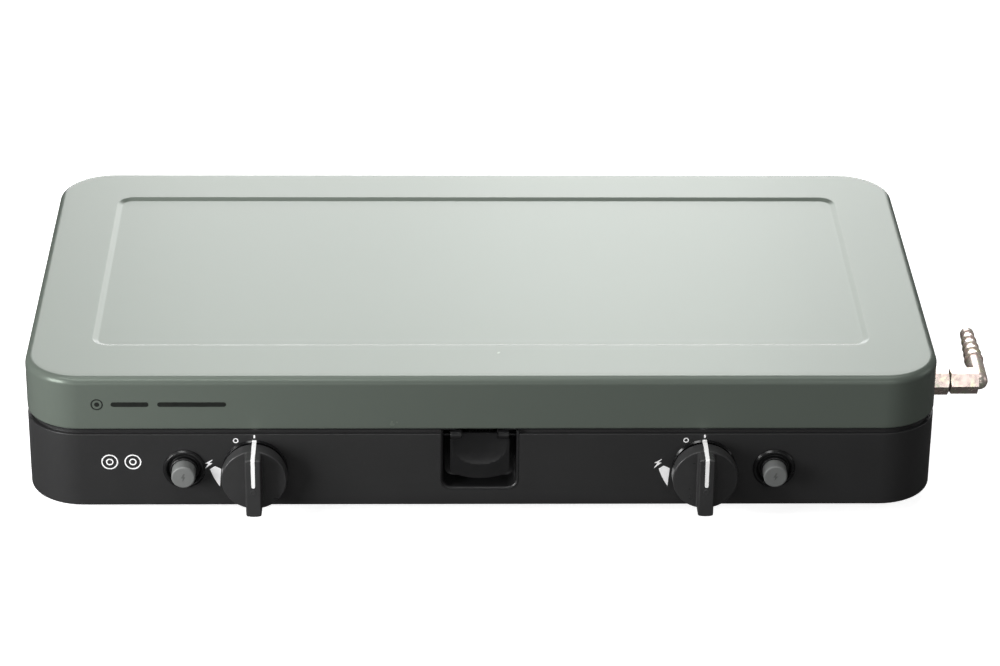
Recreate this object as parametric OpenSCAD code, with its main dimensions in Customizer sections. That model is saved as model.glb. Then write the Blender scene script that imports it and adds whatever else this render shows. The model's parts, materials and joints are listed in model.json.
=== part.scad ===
// Two-burner camping stove with a hinged lid.
// Millimetres. +Z is up, +Y points to the back, +X to the right seen from the front.
// The origin is on the ground, under the middle of the whole stove with its knobs and hose tail.

/* [Shell] */
// Width of the base and lid
body_w = 536; // [500:1:600]
// Depth of the base and lid, front to back
body_d = 289; // [275:1:320]
// Plan radius of the four upright corners
corner_r = 33.5; // [28:0.5:40]
// Height of the base, without its feet
base_h = 49.5; // [46:0.1:56]
// Height of the lid's skirt and top together
lid_h = 32.9; // [30:0.1:45]
// Gap between the base's rim and the lid's lower edge
seam = 1.6; // [1.2:0.1:2.2]
// Thickness of the pressed steel
sheet = 1; // [0.8:0.1:1.2]
// Radius of the lid's top edge
lid_edge_r = 4.8; // [3:0.1:6]
// Radius of the base's bottom edge
base_edge_r = 1.5; // [1.5:0.5:4]
// Height of the rubber feet
foot_h = 9.2; // [8:0.1:14]

/* [Lid panel] */
// Width of the sunken panel
panel_w = 457; // [400:1:480]
// Depth of the sunken panel, front to back
panel_d = 205; // [180:1:215]
// Corner radius of the sunken panel
panel_r = 11; // [6:1:20]
// How far the panel is sunk
panel_sink = 1.5; // [0.8:0.1:2]
// How far the panel sits behind the middle
panel_shift = 2.5; // [0:0.5:5]

/* [Hob] */
// Distance of each burner from the middle
burner_x = 131.6; // [128:0.1:134]
// Distance of the burners behind the middle
burner_y = 3; // [0:1:6]
// Height of the hob's rim above the base's rim
rim_rise = 6.3; // [5:0.1:8]
// Distance of the well's wall from the outside
well_inset = 17; // [16.8:0.1:18]
// Depth of the well below the base's rim
well_drop = 4.7; // [4:0.1:5]
// Side of the square pan supports, at the wire's centre
grid_w = 205; // [190:1:208]
// Height of the pan supports' top above the deck
grid_h = 25.2; // [23:0.1:27]

/* [Controls] */
// How far the controls, latch and burners sit to the right of the shell's middle
front_shift = -1.6; // [-2:0.1:2]
// Distance of each igniter button from the middle
igniter_x = 173; // [170:1:180]
// Height of the knobs and buttons above the base's bottom edge
control_h = 24.8; // [22:0.1:26]
// Radius of the knobs
knob_r = 18.9; // [16:0.1:20]
// How far the knobs' grips stand out from the front
knob_out = 24.7; // [22:0.1:28]
// Width of the knobs' grips
grip_w = 9.2; // [7:0.1:12]
// Travel of the knobs when they are pushed in
knob_push = 2.5; // [2:0.1:2.6]
// Travel of the igniter buttons
button_push = 5.5; // [4:0.5:6]

/* [Latch] */
// Width of the latch pocket
pocket_w = 46; // [42:1:52]
// Height of the pocket's floor above the base's bottom edge
pocket_z = 10.4; // [8:0.1:12]
// Width of the latch paddle
paddle_w = 34.6; // [32:0.2:35]

/* [Hose inlet] */
// Distance of the inlet in front of the middle
inlet_y = 38; // [30:1:45]
// Height of the inlet above the base's bottom edge
inlet_h = 26.5; // [24:0.1:28]
// Length of the hose tail from the elbow's turning axis to its tip
tail_len = 58; // [50:1:65]
// Upward tilt of the hose tail at rest
tail_tilt = 4; // [0:1:10]

/* [Hidden] */
$fn = 48;
e = 1;

// Levels above the ground
base_z = foot_h;
rim_z = base_z + base_h;
seam_z = rim_z + seam;
lid_z = seam_z + lid_h;
hob_t = 0.8;
hob_z = rim_z + rim_rise;
deck_z = rim_z - well_drop + hob_t;
control_z = base_z + control_h;
floor_z = base_z + sheet;

// Faces of the shell
front_y = -body_d / 2;
back_y = body_d / 2;
side_x = body_w / 2;

// Corner posts, feet and screws
post_x = 232;
post_y = 108;
post_r = 5;
screw_r = 2;

// Hinge
hinge_x = 160;
hinge_gap = 4;
hinge_y = back_y + hinge_gap;
hinge_z = rim_z + seam / 2;
leaf_w = 40;
leaf_t = 1.2;
knuckle_r = 3.4;
knuckle_len = 13;
hinge_pin_r = 1.5;
rivet_r = 2;
base_rivet_z = rim_z - 12;
lid_rivet_z = seam_z + 12;

// Latch
pocket_floor_z = base_z + pocket_z;
pocket_depth = 15.9;
pocket_t = 1.5;
pocket_r = 6.5;
latch_y = front_y + 5.2;
latch_z = rim_z - 4.7;
latch_pin_r = 1.5;
hook_z = seam_z + 6;
hook_gap_w = 28;

// Gas train
pipe_y = front_y + 20.5;
pipe_z = base_z + 7.8;
pipe_r = 5;
valve_y = front_y + 7.5;
valve_len = 27;
plug_r = 6;
plug_len = 18;
spindle_r = 4;
spindle_end = valve_y + 7;
spindle_tip = front_y - 13;
flat_h = 2.6;
flat_len = 9.5;
jet_y = valve_y + valve_len + 14;
tube_r = 11;
tube_front_y = jet_y + 4;
neck_z = control_z + tube_r;
burner_screw_x = 27.9;

// Inlet and elbow
inlet_z = base_z + inlet_h;
spigot_r = 4;
hex_out = 20.6;
elbow_x = side_x + 21.4;
elbow_axis_x = side_x + 39.8;
tail_r = 5.4;
barb_count = 5;
barb_pitch = 7.4;
barb_r = 4.55;
barb_growth = 0.38;
barb_max_r = barb_r + barb_growth * (barb_count - 1);

// Place of the shell's middle in the stove's frame
shell_x = -(elbow_axis_x + barb_max_r - side_x) / 2;
shell_y = (knob_out - hinge_gap - knuckle_r) / 2;

// Route of the pipe from the valves to the inlet
pipe_turn_x = 175;
bend_r = 20;
jog_y = -inlet_y - pipe_y;
jog_z = inlet_z - pipe_z;
jog_len = sqrt(jog_y * jog_y + jog_z * jog_z);
jog_slope = atan2(jog_z, jog_y);
pipe_end_x = side_x - 16;

// Knob bezels
bezel_t = 1.2;
bezel_bore_r = 12;

// Igniters and electrodes
barrel_r = 8.9;
button_r = 7;
collar_r = 8.2;
collar_len = 3.2;
barrel_len = 34;
button_back = front_y + 8;
electrode_dx = 30;
electrode_dy = -30;

// Pan supports
grid_ring_z = deck_z + 5.2;
grid_r = 34;
grid_wire = 2.8;
finger_wire = 2.5;
finger_z = deck_z + grid_h - finger_wire;
peg_at = grid_w / 2 - 10;

// ---------- Placing ----------

module on_shell() { translate([shell_x, shell_y, 0]) children(); }
module on_front() { translate([shell_x + front_shift, shell_y, 0]) children(); }

// ---------- Shared shapes ----------

function arc(cx, cy, r, a0, a1, steps) =
    [for (i = [0:steps]) let (a = a0 + (a1 - a0) * i / steps) [cx + r * cos(a), cy + r * sin(a)]];

module outline(w, d, r) {
    square([w - 2 * r, d], center = true);
    square([w, d - 2 * r], center = true);
    for (sx = [-1, 1], sy = [-1, 1])
        translate([sx * (w / 2 - r), sy * (d / 2 - r)]) circle(r);
}

module slab(w, d, r, z, h) {
    translate([0, 0, z]) linear_extrude(h) outline(w, d, r);
}

// Carries a profile round a rounded rectangle. The profile's x runs outwards from each corner's centre.
module around(w, d, r) {
    lx = w / 2 - r;
    ly = d / 2 - r;
    for (side = [0:3]) {
        along = side % 2 == 0 ? 2 * ly : 2 * lx;
        out = side % 2 == 0 ? lx : ly;
        rotate([0, 0, 90 * side]) translate([out, along / 2, 0])
            rotate([90, 0, 0]) linear_extrude(along) children();
        rotate([0, 0, 90 * side]) translate([out, side % 2 == 0 ? ly : lx, 0])
            rotate_extrude(angle = 90) children();
    }
}

// Cylinder along Y from y0 to y1
module rod_y(x, z, r, y0, y1) {
    translate([x, y0, z]) rotate([-90, 0, 0]) cylinder(r = r, h = y1 - y0);
}

// Cylinder along X from x0 to x1
module rod_x(y, z, r, x0, x1) {
    translate([x0, y, z]) rotate([0, 90, 0]) cylinder(r = r, h = x1 - x0);
}

// Hexagonal bar along X with flats up and down
module hex_x(y, z, across, x0, x1) {
    translate([x0, y, z]) rotate([0, 90, 0]) rotate([0, 0, 30])
        cylinder(r = across / sqrt(3), h = x1 - x0, $fn = 6);
}

// Skin of a round tube that follows a list of centre points; each ring is turned by the frame at its point
function unit(v) = v / norm(v);
function tube_ring(p, t, up, r, sides) =
    let (s = unit(cross(t, up)), u = cross(s, t))
    [for (k = [0:sides - 1]) p + r * (cos(360 * k / sides) * s + sin(360 * k / sides) * u)];
module swept_tube(path, r, sides, up) {
    n = len(path);
    tangent = [for (i = [0:n - 1]) unit(path[min(i + 1, n - 1)] - path[max(i - 1, 0)])];
    skin = [for (i = [0:n - 1]) each tube_ring(path[i], tangent[i], up, r, sides)];
    walls = [for (i = [0:n - 2], k = [0:sides - 1])
        [i * sides + k, i * sides + (k + 1) % sides, (i + 1) * sides + (k + 1) % sides, (i + 1) * sides + k]];
    first = [for (k = [0:sides - 1]) sides - 1 - k];
    last = [for (k = [0:sides - 1]) (n - 1) * sides + k];
    polyhedron(skin, concat(walls, [first, last]));
}

// Coil spring along +Z from the origin
module coil(r, wire, length, turns) {
    steps = 14;
    rise = length - 2 * wire;
    path = [for (i = [0:turns * steps])
        [r * cos(360 * i / steps), r * sin(360 * i / steps), wire + rise * i / (turns * steps)]];
    swept_tube(path, wire, 6, [0, 0, 1]);
}

// Smooth curve through a list of points
function curve_point(p0, p1, p2, p3, t) =
    0.5 * (2 * p1 + (p2 - p0) * t + (2 * p0 - 5 * p1 + 4 * p2 - p3) * t * t
    + (3 * p1 - p0 - 3 * p2 + p3) * t * t * t);
function smooth(points, steps) =
    let (n = len(points))
    concat([for (i = [0:n - 2], k = [0:steps - 1])
        curve_point(points[max(i - 1, 0)], points[i], points[i + 1], points[min(i + 2, n - 1)], k / steps)],
        [points[n - 1]]);

module at_corner_posts() {
    for (sx = [-1, 1], sy = [-1, 1]) translate([sx * post_x, sy * post_y, 0]) children();
}

module dome_head(r, h) {
    rotate_extrude() polygon(concat([[0, 0]], [for (i = [0:4]) [r * cos(22.5 * i), h * sin(22.5 * i)]]));
}

// ---------- Base ----------

module base_profile() {
    r = corner_r;
    b = base_edge_r;
    polygon(concat(
        [[r, rim_z]],
        arc(r - b, base_z + b, b, 0, -90, 5),
        [[r - b - 2, base_z], [r - b - 2, floor_z]],
        arc(r - b, base_z + b, b - sheet, -90, 0, 5),
        [[r - sheet, rim_z - sheet], [r - 9, rim_z - sheet], [r - 9, rim_z]]));
}

// Front view of the latch pocket, extruded backwards from y0. Its top is open at the given height.
module pocket_shape(w, floor, top, r, y0, depth) {
    translate([0, y0, 0]) rotate([-90, 0, 0]) linear_extrude(depth) {
        translate([-w / 2, -top]) square([w, top - floor - r]);
        translate([-w / 2 + r, -(floor + r)]) square([w - 2 * r, r]);
        for (s = [-1, 1]) translate([s * (w / 2 - r), -(floor + r)]) circle(r);
    }
}

module vent_slots(x) {
    for (i = [-3:3]) translate([x - 20, 12 * i - 1.5, base_z - e]) cube([40, 3, sheet + 2 * e]);
}

module hinge_rivet_holes(z) {
    for (s = [-1, 1], t = [-1, 1])
        rod_y(s * hinge_x + t * 13, z, rivet_r + 0.02, back_y - 2, back_y + e);
}

module base_pan() {
    color([0.16, 0.16, 0.17]) on_shell() difference() {
        union() {
            around(body_w, body_d, corner_r) base_profile();
            slab(body_w - 2 * base_edge_r - 2, body_d - 2 * base_edge_r - 2, corner_r - base_edge_r - 1,
                base_z, sheet);
        }
        translate([front_shift, 0, 0]) {
            pocket_shape(pocket_w, pocket_floor_z, rim_z + e, pocket_r, front_y - e, 12);
            for (s = [-1, 1]) {
                rod_y(s * burner_x, control_z, 6, front_y - e, front_y + 2);
                rod_y(s * igniter_x, control_z, barrel_r + 0.1, front_y - e, front_y + 2);
                vent_slots(s * burner_x);
            }
        }
        rod_x(-inlet_y, inlet_z, 6.6, side_x - 2, side_x + e);
        at_corner_posts() translate([0, 0, base_z - e]) cylinder(r = screw_r + 0.2, h = sheet + 2 * e);
        hinge_rivet_holes(base_rivet_z);
    }
}

module hob_profile() {
    r = corner_r;
    w = well_inset;
    t = hob_t;
    polygon([[r - 2, rim_z], [r - 2, rim_z + t], [r - 4.2, rim_z + t], [r - 4.2, hob_z], [r - w, hob_z],
        [r - w, deck_z], [r - w - 2, deck_z], [r - w - 2, deck_z - t], [r - w + t, deck_z - t],
        [r - w + t, hob_z - t], [r - 4.2 - t, hob_z - t], [r - 4.2 - t, rim_z]]);
}

module hob_plate() {
    color([0.13, 0.13, 0.14]) on_shell() difference() {
        union() {
            around(body_w, body_d, corner_r) hob_profile();
            slab(body_w - 2 * well_inset - 2, body_d - 2 * well_inset - 2, corner_r - well_inset - 1,
                deck_z - hob_t, hob_t);
        }
        translate([front_shift - hook_gap_w / 2, front_y, rim_z - e])
            cube([hook_gap_w, 15.6, rim_rise + 2 * e]);
        for (s = [-1, 1]) translate([front_shift + s * burner_x, burner_y, deck_z - 2]) {
            cylinder(r = 18.5, h = 4);
            translate([s * electrode_dx, electrode_dy, 0]) cylinder(r = 3.7, h = 4);
            for (t = [-1, 1]) translate([t * burner_screw_x, 0, 0]) cylinder(r = 1.55, h = 4);
            at_grid_corners() cylinder(r = 2.6, h = 4);
        }
        at_corner_posts() translate([0, 0, deck_z - 2]) cylinder(r = screw_r + 0.2, h = 4);
    }
}

module deck_posts() {
    color([0.7, 0.7, 0.72]) on_shell() at_corner_posts() difference() {
        translate([0, 0, floor_z]) cylinder(r = post_r, h = deck_z - hob_t - floor_z);
        translate([0, 0, floor_z - e]) cylinder(r = screw_r + 0.02, h = 12);
        translate([0, 0, deck_z - hob_t - 11]) cylinder(r = screw_r + 0.02, h = 12);
    }
}

module rubber_feet() {
    color([0.08, 0.08, 0.08]) on_shell() at_corner_posts() difference() {
        rotate_extrude() polygon([[0, 0], [11.5, 0], [12.5, 1.5], [14, base_z], [0, base_z]]);
        translate([0, 0, -e]) cylinder(r = 5, h = 6 + e);
        cylinder(r = screw_r + 0.2, h = base_z + e);
    }
}

module foot_screws() {
    color([0.7, 0.7, 0.72]) on_shell() at_corner_posts() {
        translate([0, 0, 4]) cylinder(r = 3.8, h = 2);
        translate([0, 0, 5.9]) cylinder(r = screw_r, h = 13);
    }
}

module hob_screws() {
    color([0.75, 0.75, 0.77]) on_shell() at_corner_posts() {
        translate([0, 0, deck_z]) difference() {
            dome_head(4, 2.2);
            for (a = [0, 90]) rotate([0, 0, a]) translate([-2, -0.4, 1.2]) cube([4, 0.8, 2]);
        }
        translate([0, 0, deck_z - 9]) cylinder(r = screw_r, h = 9.1);
    }
}

// ---------- Latch ----------

module latch_housing() {
    t = pocket_t;
    color([0.07, 0.07, 0.075]) on_front() difference() {
        pocket_shape(pocket_w, pocket_floor_z, rim_z, pocket_r, front_y, pocket_depth);
        pocket_shape(pocket_w - 2 * t, pocket_floor_z + t, rim_z + e, pocket_r - t, front_y - e,
            pocket_depth - t + e);
        rod_x(latch_y, latch_z, latch_pin_r + 0.01, -side_x / 2, side_x / 2);
    }
}

module latch_pin() {
    half = pocket_w / 2 - 0.2;
    color([0.75, 0.75, 0.77]) on_front() rod_x(latch_y, latch_z, latch_pin_r, -half, half);
}

module latch_paddle() {
    half = paddle_w / 2;
    drop = 28.2;
    ear = 7;
    color([0.09, 0.09, 0.1]) on_front() difference() {
        union() {
            translate([0, latch_y - 2, latch_z]) rotate([90, 0, 180]) mirror([1, 0, 0])
                linear_extrude(2.8) paddle_face(half, drop, ear);
            translate([ear - half, latch_y - 4.8, latch_z - 6]) cube([2 * (half - ear), 1.4, 8.4]);
            for (x = [-half, half - ear]) rod_x(latch_y, latch_z, 3.4, x, x + ear);
            translate([-8, latch_y - 0.5, latch_z - 9.5]) cube([16, 5.2, 4]);
            translate([-8, latch_y + 2.7, latch_z - 9.5]) cube([16, 2, hook_z + 2.5 - latch_z + 9.5]);
            translate([-8, latch_y - 1, hook_z]) cube([16, 5.7, 2.5]);
        }
        rod_x(latch_y, latch_z, latch_pin_r + 0.06, -body_w / 4, body_w / 4);
    }
}

// Front view of the paddle, pin level at y = 0 and the bottom a shallow arc
module paddle_face(half, drop, ear) {
    sag = 3.5;
    corner = 4;
    smile = [for (i = [-6:6]) [(half - corner) * i / 6, -drop + sag * pow(i / 6, 2) * 0.8]];
    polygon(concat(
        [[-half, 0], [-half, -drop + sag + corner * 0.7]],
        smile,
        [[half, -drop + sag + corner * 0.7], [half, 0], [half - ear, 0], [half - ear, -5.5],
            [ear - half, -5.5], [ear - half, 0]]));
}

module latch_spring() {
    color([0.8, 0.8, 0.82]) on_front()
        translate([-9, latch_y, latch_z]) rotate([0, 90, 0]) coil(2.05, 0.3, 18, 9);
}

// ---------- Lid and hinges ----------

module lid_profile() {
    r = corner_r;
    f = lid_edge_r;
    hem = 3;
    polygon(concat(
        [[r - hem, seam_z], [r, seam_z]],
        arc(r - f, lid_z - f, f, 0, 90, 8),
        [[r - f - 2, lid_z], [r - f - 2, lid_z - sheet]],
        arc(r - f, lid_z - f, f - sheet, 90, 0, 8),
        [[r - sheet, seam_z + sheet], [r - hem, seam_z + sheet]]));
}

module lid_shell() {
    panel_z = lid_z - panel_sink;
    top_inset = lid_edge_r + 1;
    color([0.62, 0.66, 0.62]) on_shell() difference() {
        union() {
            around(body_w, body_d, corner_r) lid_profile();
            slab(body_w - 2 * top_inset, body_d - 2 * top_inset, corner_r - top_inset, lid_z - sheet, sheet);
            translate([0, panel_shift, 0])
                slab(panel_w + 2 * sheet, panel_d + 2 * sheet, panel_r + sheet, panel_z - sheet, panel_sink);
        }
        translate([0, panel_shift, 0]) slab(panel_w, panel_d, panel_r, panel_z, panel_sink + e);
        hinge_rivet_holes(lid_rivet_z);
    }
}

module lid_catch() {
    color([0.75, 0.75, 0.77]) on_front() {
        translate([-12, front_y + sheet, seam_z + 1.7]) cube([24, 1, 16]);
        translate([-12, front_y + sheet + 0.9, hook_z - 1.3]) cube([24, 3.3, 1]);
    }
}

module rivet_holes_y(z) {
    for (t = [-1, 1]) rod_y(t * 13, z, rivet_r + 0.02, back_y - e, back_y + leaf_t + e);
}

module leaf_plate(z0, z1) {
    translate([-leaf_w / 2, back_y, z0]) cube([leaf_w, leaf_t, z1 - z0]);
}

module base_hinge_leaves() {
    half = knuckle_len / 2 + 0.3;
    color([0.1, 0.1, 0.1]) on_shell() for (s = [-1, 1]) translate([s * hinge_x, 0, 0]) difference() {
        union() {
            leaf_plate(hinge_z - 21, hinge_z - knuckle_r - 0.4);
            for (t = [-1, 1]) {
                rod_x(hinge_y, hinge_z, knuckle_r, t > 0 ? half : -leaf_w / 2, t > 0 ? leaf_w / 2 : -half);
                translate([t > 0 ? half : -leaf_w / 2, back_y, hinge_z - knuckle_r - e])
                    cube([leaf_w / 2 - half, leaf_t, knuckle_r + e]);
            }
        }
        rod_x(hinge_y, hinge_z, hinge_pin_r + 0.01, -leaf_w, leaf_w);
        rivet_holes_y(base_rivet_z);
    }
}

module lid_hinge_leaves() {
    half = knuckle_len / 2;
    color([0.5, 0.54, 0.5]) on_shell() for (s = [-1, 1]) translate([s * hinge_x, 0, 0]) difference() {
        union() {
            leaf_plate(hinge_z + knuckle_r + 0.4, hinge_z + 21);
            rod_x(hinge_y, hinge_z, knuckle_r, -half, half);
            translate([-half, back_y, hinge_z]) cube([2 * half, leaf_t, knuckle_r + e]);
        }
        rod_x(hinge_y, hinge_z, hinge_pin_r + 0.06, -leaf_w, leaf_w);
        rivet_holes_y(lid_rivet_z);
    }
}

module hinge_pins() {
    color([0.75, 0.75, 0.77]) on_shell() for (s = [-1, 1]) translate([s * hinge_x, 0, 0]) {
        rod_x(hinge_y, hinge_z, hinge_pin_r, -leaf_w / 2, leaf_w / 2);
        for (x = [-leaf_w / 2 - 1, leaf_w / 2]) rod_x(hinge_y, hinge_z, 2.4, x, x + 1);
    }
}

module hinge_rivets(z) {
    for (s = [-1, 1], t = [-1, 1]) translate([s * hinge_x + t * 13, 0, z]) {
        rod_y(0, 0, rivet_r, back_y - sheet - 0.1, back_y + leaf_t + 0.1);
        rod_y(0, 0, 3.2, back_y - sheet - 1, back_y - sheet);
        translate([0, back_y + leaf_t, 0]) rotate([-90, 0, 0]) dome_head(3.4, 1.5);
    }
}

module base_hinge_rivets() {
    color([0.7, 0.7, 0.72]) on_shell() hinge_rivets(base_rivet_z);
}

module lid_hinge_rivets() {
    color([0.7, 0.7, 0.72]) on_shell() hinge_rivets(lid_rivet_z);
}

// ---------- Gas train ----------

module pipe_line(r) {
    rod_x(0, 0, r, front_shift - burner_x - 16, pipe_turn_x);
    translate([pipe_turn_x, bend_r, 0]) rotate([0, 0, -90])
        rotate_extrude(angle = 90) translate([bend_r, 0]) circle(r);
    rod_y(pipe_turn_x + bend_r, 0, r, bend_r, jog_len - bend_r);
    translate([pipe_turn_x + 2 * bend_r, jog_len - bend_r, 0]) rotate([0, 0, 90])
        rotate_extrude(angle = 90) translate([bend_r, 0]) circle(r);
    rod_x(jog_len, 0, r, pipe_turn_x + 2 * bend_r, pipe_end_x);
}

module manifold_pipe() {
    color([0.6, 0.6, 0.6]) on_shell()
        translate([0, pipe_y, pipe_z]) rotate([jog_slope, 0, 0]) pipe_line(pipe_r);
}

module manifold_clips() {
    color([0.65, 0.65, 0.66]) on_shell() for (x = [-60, 60]) translate([x, pipe_y, 0]) difference() {
        union() {
            translate([-6, -7, floor_z]) cube([12, 14, pipe_z + pipe_r + 2 - floor_z]);
            translate([-6, 6, floor_z]) cube([12, 12, 2]);
        }
        rod_x(0, pipe_z, pipe_r + 0.05, -10, 10);
        translate([0, 13, floor_z - e]) cylinder(r = 1.6, h = 4);
    }
}

module valve_body() {
    block_h = control_z - pipe_z + pipe_r + 1;
    difference() {
        union() {
            rod_y(0, control_z, 10, valve_y, valve_y + valve_len);
            translate([-13, valve_y, control_z - 8]) cube([26, 4, 16]);
            translate([-8, pipe_y - 7, pipe_z - pipe_r - 0.5]) cube([16, 14, block_h]);
            rod_y(0, control_z, 6, valve_y + valve_len - 1, valve_y + valve_len + 6);
        }
        rod_y(0, control_z, plug_r + 0.04, valve_y - e, valve_y + plug_len + 1.5);
        rod_y(0, control_z, 2, valve_y + plug_len, valve_y + valve_len + 7);
        rod_y(0, control_z, 3, valve_y + valve_len + 1, valve_y + valve_len + 7);
        rod_x(pipe_y, pipe_z, pipe_r + 0.03, -10, 10);
        translate([0, pipe_y, pipe_z]) cylinder(r = 1.5, h = control_z - pipe_z);
        for (t = [-1, 1]) rod_y(t * 10.4, control_z + t * 4.6, 1.27, valve_y - e, valve_y + 3.2);
    }
}

module valve_bonnet() {
    difference() {
        union() {
            translate([-13, valve_y - 3, control_z - 8]) cube([26, 3, 16]);
            rod_y(0, control_z, 6.5, valve_y - 5, valve_y - 2);
        }
        rod_y(0, control_z, spindle_r + 0.05, valve_y - 6, valve_y + e);
        for (t = [-1, 1]) rod_y(t * 10.4, control_z + t * 4.6, 1.4, valve_y - 4, valve_y + e);
    }
}

module bonnet_screws() {
    color([0.7, 0.7, 0.72]) on_front() for (s = [-1, 1], t = [-1, 1])
        translate([s * burner_x + t * 10.4, 0, control_z + t * 4.6]) {
            rod_y(0, 0, 1.25, valve_y - 3.1, valve_y + 3);
            rod_y(0, 0, 2.3, valve_y - 4.6, valve_y - 3);
        }
}

module injector() {
    back = valve_y + valve_len + 6;
    difference() {
        union() {
            rod_y(0, control_z, 2.95, back - 4.5, back);
            translate([0, back, control_z]) rotate([-90, 0, 0]) cylinder(r = 4.6, h = 4, $fn = 6);
            rod_y(0, control_z, 2.6, back + 3.9, back + 8);
        }
        rod_y(0, control_z, 1.3, back - 5, back + 6);
        rod_y(0, control_z, 0.4, back + 5, back + 9);
    }
}

module valve_plug() {
    difference() {
        rod_y(0, control_z, plug_r, valve_y + 0.2, valve_y + plug_len);
        rod_y(0, control_z, spindle_r + 0.05, valve_y, valve_y + plug_len - 3);
        translate([0, pipe_y, control_z - plug_r - e]) cylinder(r = 1.2, h = 3.5);
    }
}

module spindle() {
    difference() {
        rod_y(0, control_z, spindle_r, spindle_tip, spindle_end);
        translate([-spindle_r, spindle_tip - e, control_z + flat_h]) cube([2 * spindle_r, flat_len + e, 3]);
    }
}

module valve_spring() {
    translate([0, spindle_end, control_z]) rotate([-90, 0, 0])
        coil(2.9, 0.5, valve_y + plug_len - 3 - spindle_end, 4);
}

module knob() {
    back = front_y - bezel_t - knob_push - 0.3;
    skirt = front_y - 14.5;
    difference() {
        union() {
            translate([0, back, control_z]) rotate([90, 0, 0])
                cylinder(r1 = knob_r + 0.3, r2 = knob_r + 0.1, h = back - skirt);
            intersection() {
                rod_y(0, control_z, knob_r, front_y - knob_out, back - 0.5);
                translate([-grip_w / 2, front_y - knob_out, control_z - knob_r])
                    cube([grip_w, knob_out - 3.5, 2 * knob_r]);
            }
        }
        difference() {
            rod_y(0, control_z, knob_r - 3, front_y - 9, front_y);
            rod_y(0, control_z, 7, front_y - 10, front_y + e);
        }
        difference() {
            rod_y(0, control_z, spindle_r + 0.02, spindle_tip - 0.2, front_y);
            translate([-spindle_r - e, spindle_tip - e, control_z + flat_h + 0.02])
                cube([2 * spindle_r + 2 * e, flat_len, 3]);
        }
    }
}

// Ring on the base's front, behind each knob
module knob_bezels() {
    black() for (s = [-1, 1]) translate([s * burner_x, front_y, control_z]) rotate([90, 0, 0])
        rotate_extrude() polygon([[bezel_bore_r, 0], [knob_r, 0], [knob_r, bezel_t - 0.5],
            [knob_r - 0.6, bezel_t], [bezel_bore_r, bezel_t]]);
}

// ---------- Burners ----------

module mixing_tube() {
    difference() {
        union() {
            rod_y(0, control_z, tube_r, tube_front_y + 3, burner_y);
            translate([0, tube_front_y, control_z]) rotate([-90, 0, 0]) cylinder(r1 = 15, r2 = tube_r, h = 9);
            translate([0, burner_y, control_z - 14]) cylinder(r = 18, h = neck_z - control_z + 14);
            translate([0, burner_y, neck_z - e]) cylinder(r = 14, h = 8);
        }
        rod_y(0, control_z, tube_r - 2, tube_front_y - e, burner_y);
        translate([0, tube_front_y - 0.01, control_z]) rotate([-90, 0, 0])
            cylinder(r1 = 13.4, r2 = tube_r - 2, h = 9);
        translate([0, burner_y, control_z - 12]) cylinder(r = 12, h = 32);
    }
}

module burner_body() {
    neck = neck_z + 0.2 - deck_z;
    translate([0, burner_y, deck_z]) difference() {
        rotate_extrude() polygon([[14.2, neck], [18.2, neck], [18.2, 0], [31, 0], [31, 2], [24.5, 2],
            [23, 3], [30, 7], [36, 8], [36, 13], [33, 13], [33, 10], [28, 9], [20, 5], [14.2, 3]]);
        for (a = [0:15:345]) rotate([0, 0, a]) translate([30, -0.8, 10.5]) cube([8, 1.6, 4]);
        for (t = [-1, 1]) translate([t * burner_screw_x, 0, -e]) cylinder(r = 1.6, h = 4);
    }
}

module burner_cap() {
    translate([0, burner_y, deck_z + 13]) rotate_extrude()
        polygon([[0, -3], [32.7, -3], [32.7, 0], [35, 0], [35, 1], [31, 2.6], [16, 3], [14, 2.4], [0, 2.4]]);
}

module burner_screws() {
    color([0.75, 0.75, 0.77]) on_front() for (s = [-1, 1], t = [-1, 1])
        translate([s * burner_x + t * burner_screw_x, burner_y, deck_z]) {
            translate([0, 0, 2]) cylinder(r = 2.3, h = 1.5);
            translate([0, 0, -6]) cylinder(r = 1.5, h = 9);
        }
}

module at_electrode(s) {
    translate([s * (burner_x + electrode_dx), burner_y + electrode_dy, 0]) children();
}

module electrode(s) {
    at_electrode(s) difference() {
        translate([0, 0, deck_z]) rotate_extrude() polygon([[0, -17], [2.6, -17], [3.4, -14], [3.4, 0],
            [4.6, 0], [4.6, 2], [3, 3], [2.6, 10], [0, 10]]);
        translate([0, 0, deck_z - 18]) cylinder(r = 0.8, h = 30);
    }
}

module electrode_tips() {
    color([0.7, 0.7, 0.7]) on_front() for (s = [-1, 1]) at_electrode(s) {
        translate([0, 0, deck_z - 16.5]) cylinder(r = 0.75, h = 29);
        translate([0, 0, deck_z + 11.9]) rotate([0, 90, s > 0 ? 135 : 45]) cylinder(r = 0.75, h = 4);
    }
}

module ignition_lead(s) {
    start_y = front_y + barrel_len + 4;
    foot = deck_z - 17;
    x1 = burner_x + electrode_dx;
    y1 = burner_y + electrode_dy;
    path = smooth([[s * igniter_x, start_y, control_z], [s * igniter_x, start_y + 8, control_z],
        [s * (igniter_x + 2), start_y + 45, control_z - 10], [s * x1, y1 - 6, foot - 9],
        [s * x1, y1 - 1, foot - 5], [s * x1, y1, foot - 0.1]], 6);
    swept_tube(path, 1.4, 8, [1, 0.02, 0.03]);
}

// ---------- Igniters ----------

module igniter_body() {
    difference() {
        union() {
            translate([0, front_y, control_z]) rotate([90, 0, 0]) rotate_extrude() polygon([[0, 0],
                [12.5, 0], [12.5, 0.8], [11.6, 2], [10.4, 2], [9.4, 0.6], [collar_r, 0.6],
                [collar_r, collar_len - 0.3], [collar_r - 0.3, collar_len], [0, collar_len]]);
            rod_y(0, control_z, barrel_r, front_y - 0.5, front_y + barrel_len);
            rod_y(0, control_z, 2.5, front_y + barrel_len - 1, front_y + barrel_len + 4);
        }
        rod_y(0, control_z, button_r + 0.05, front_y - collar_len - e, front_y + barrel_len - 3);
    }
}

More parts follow.
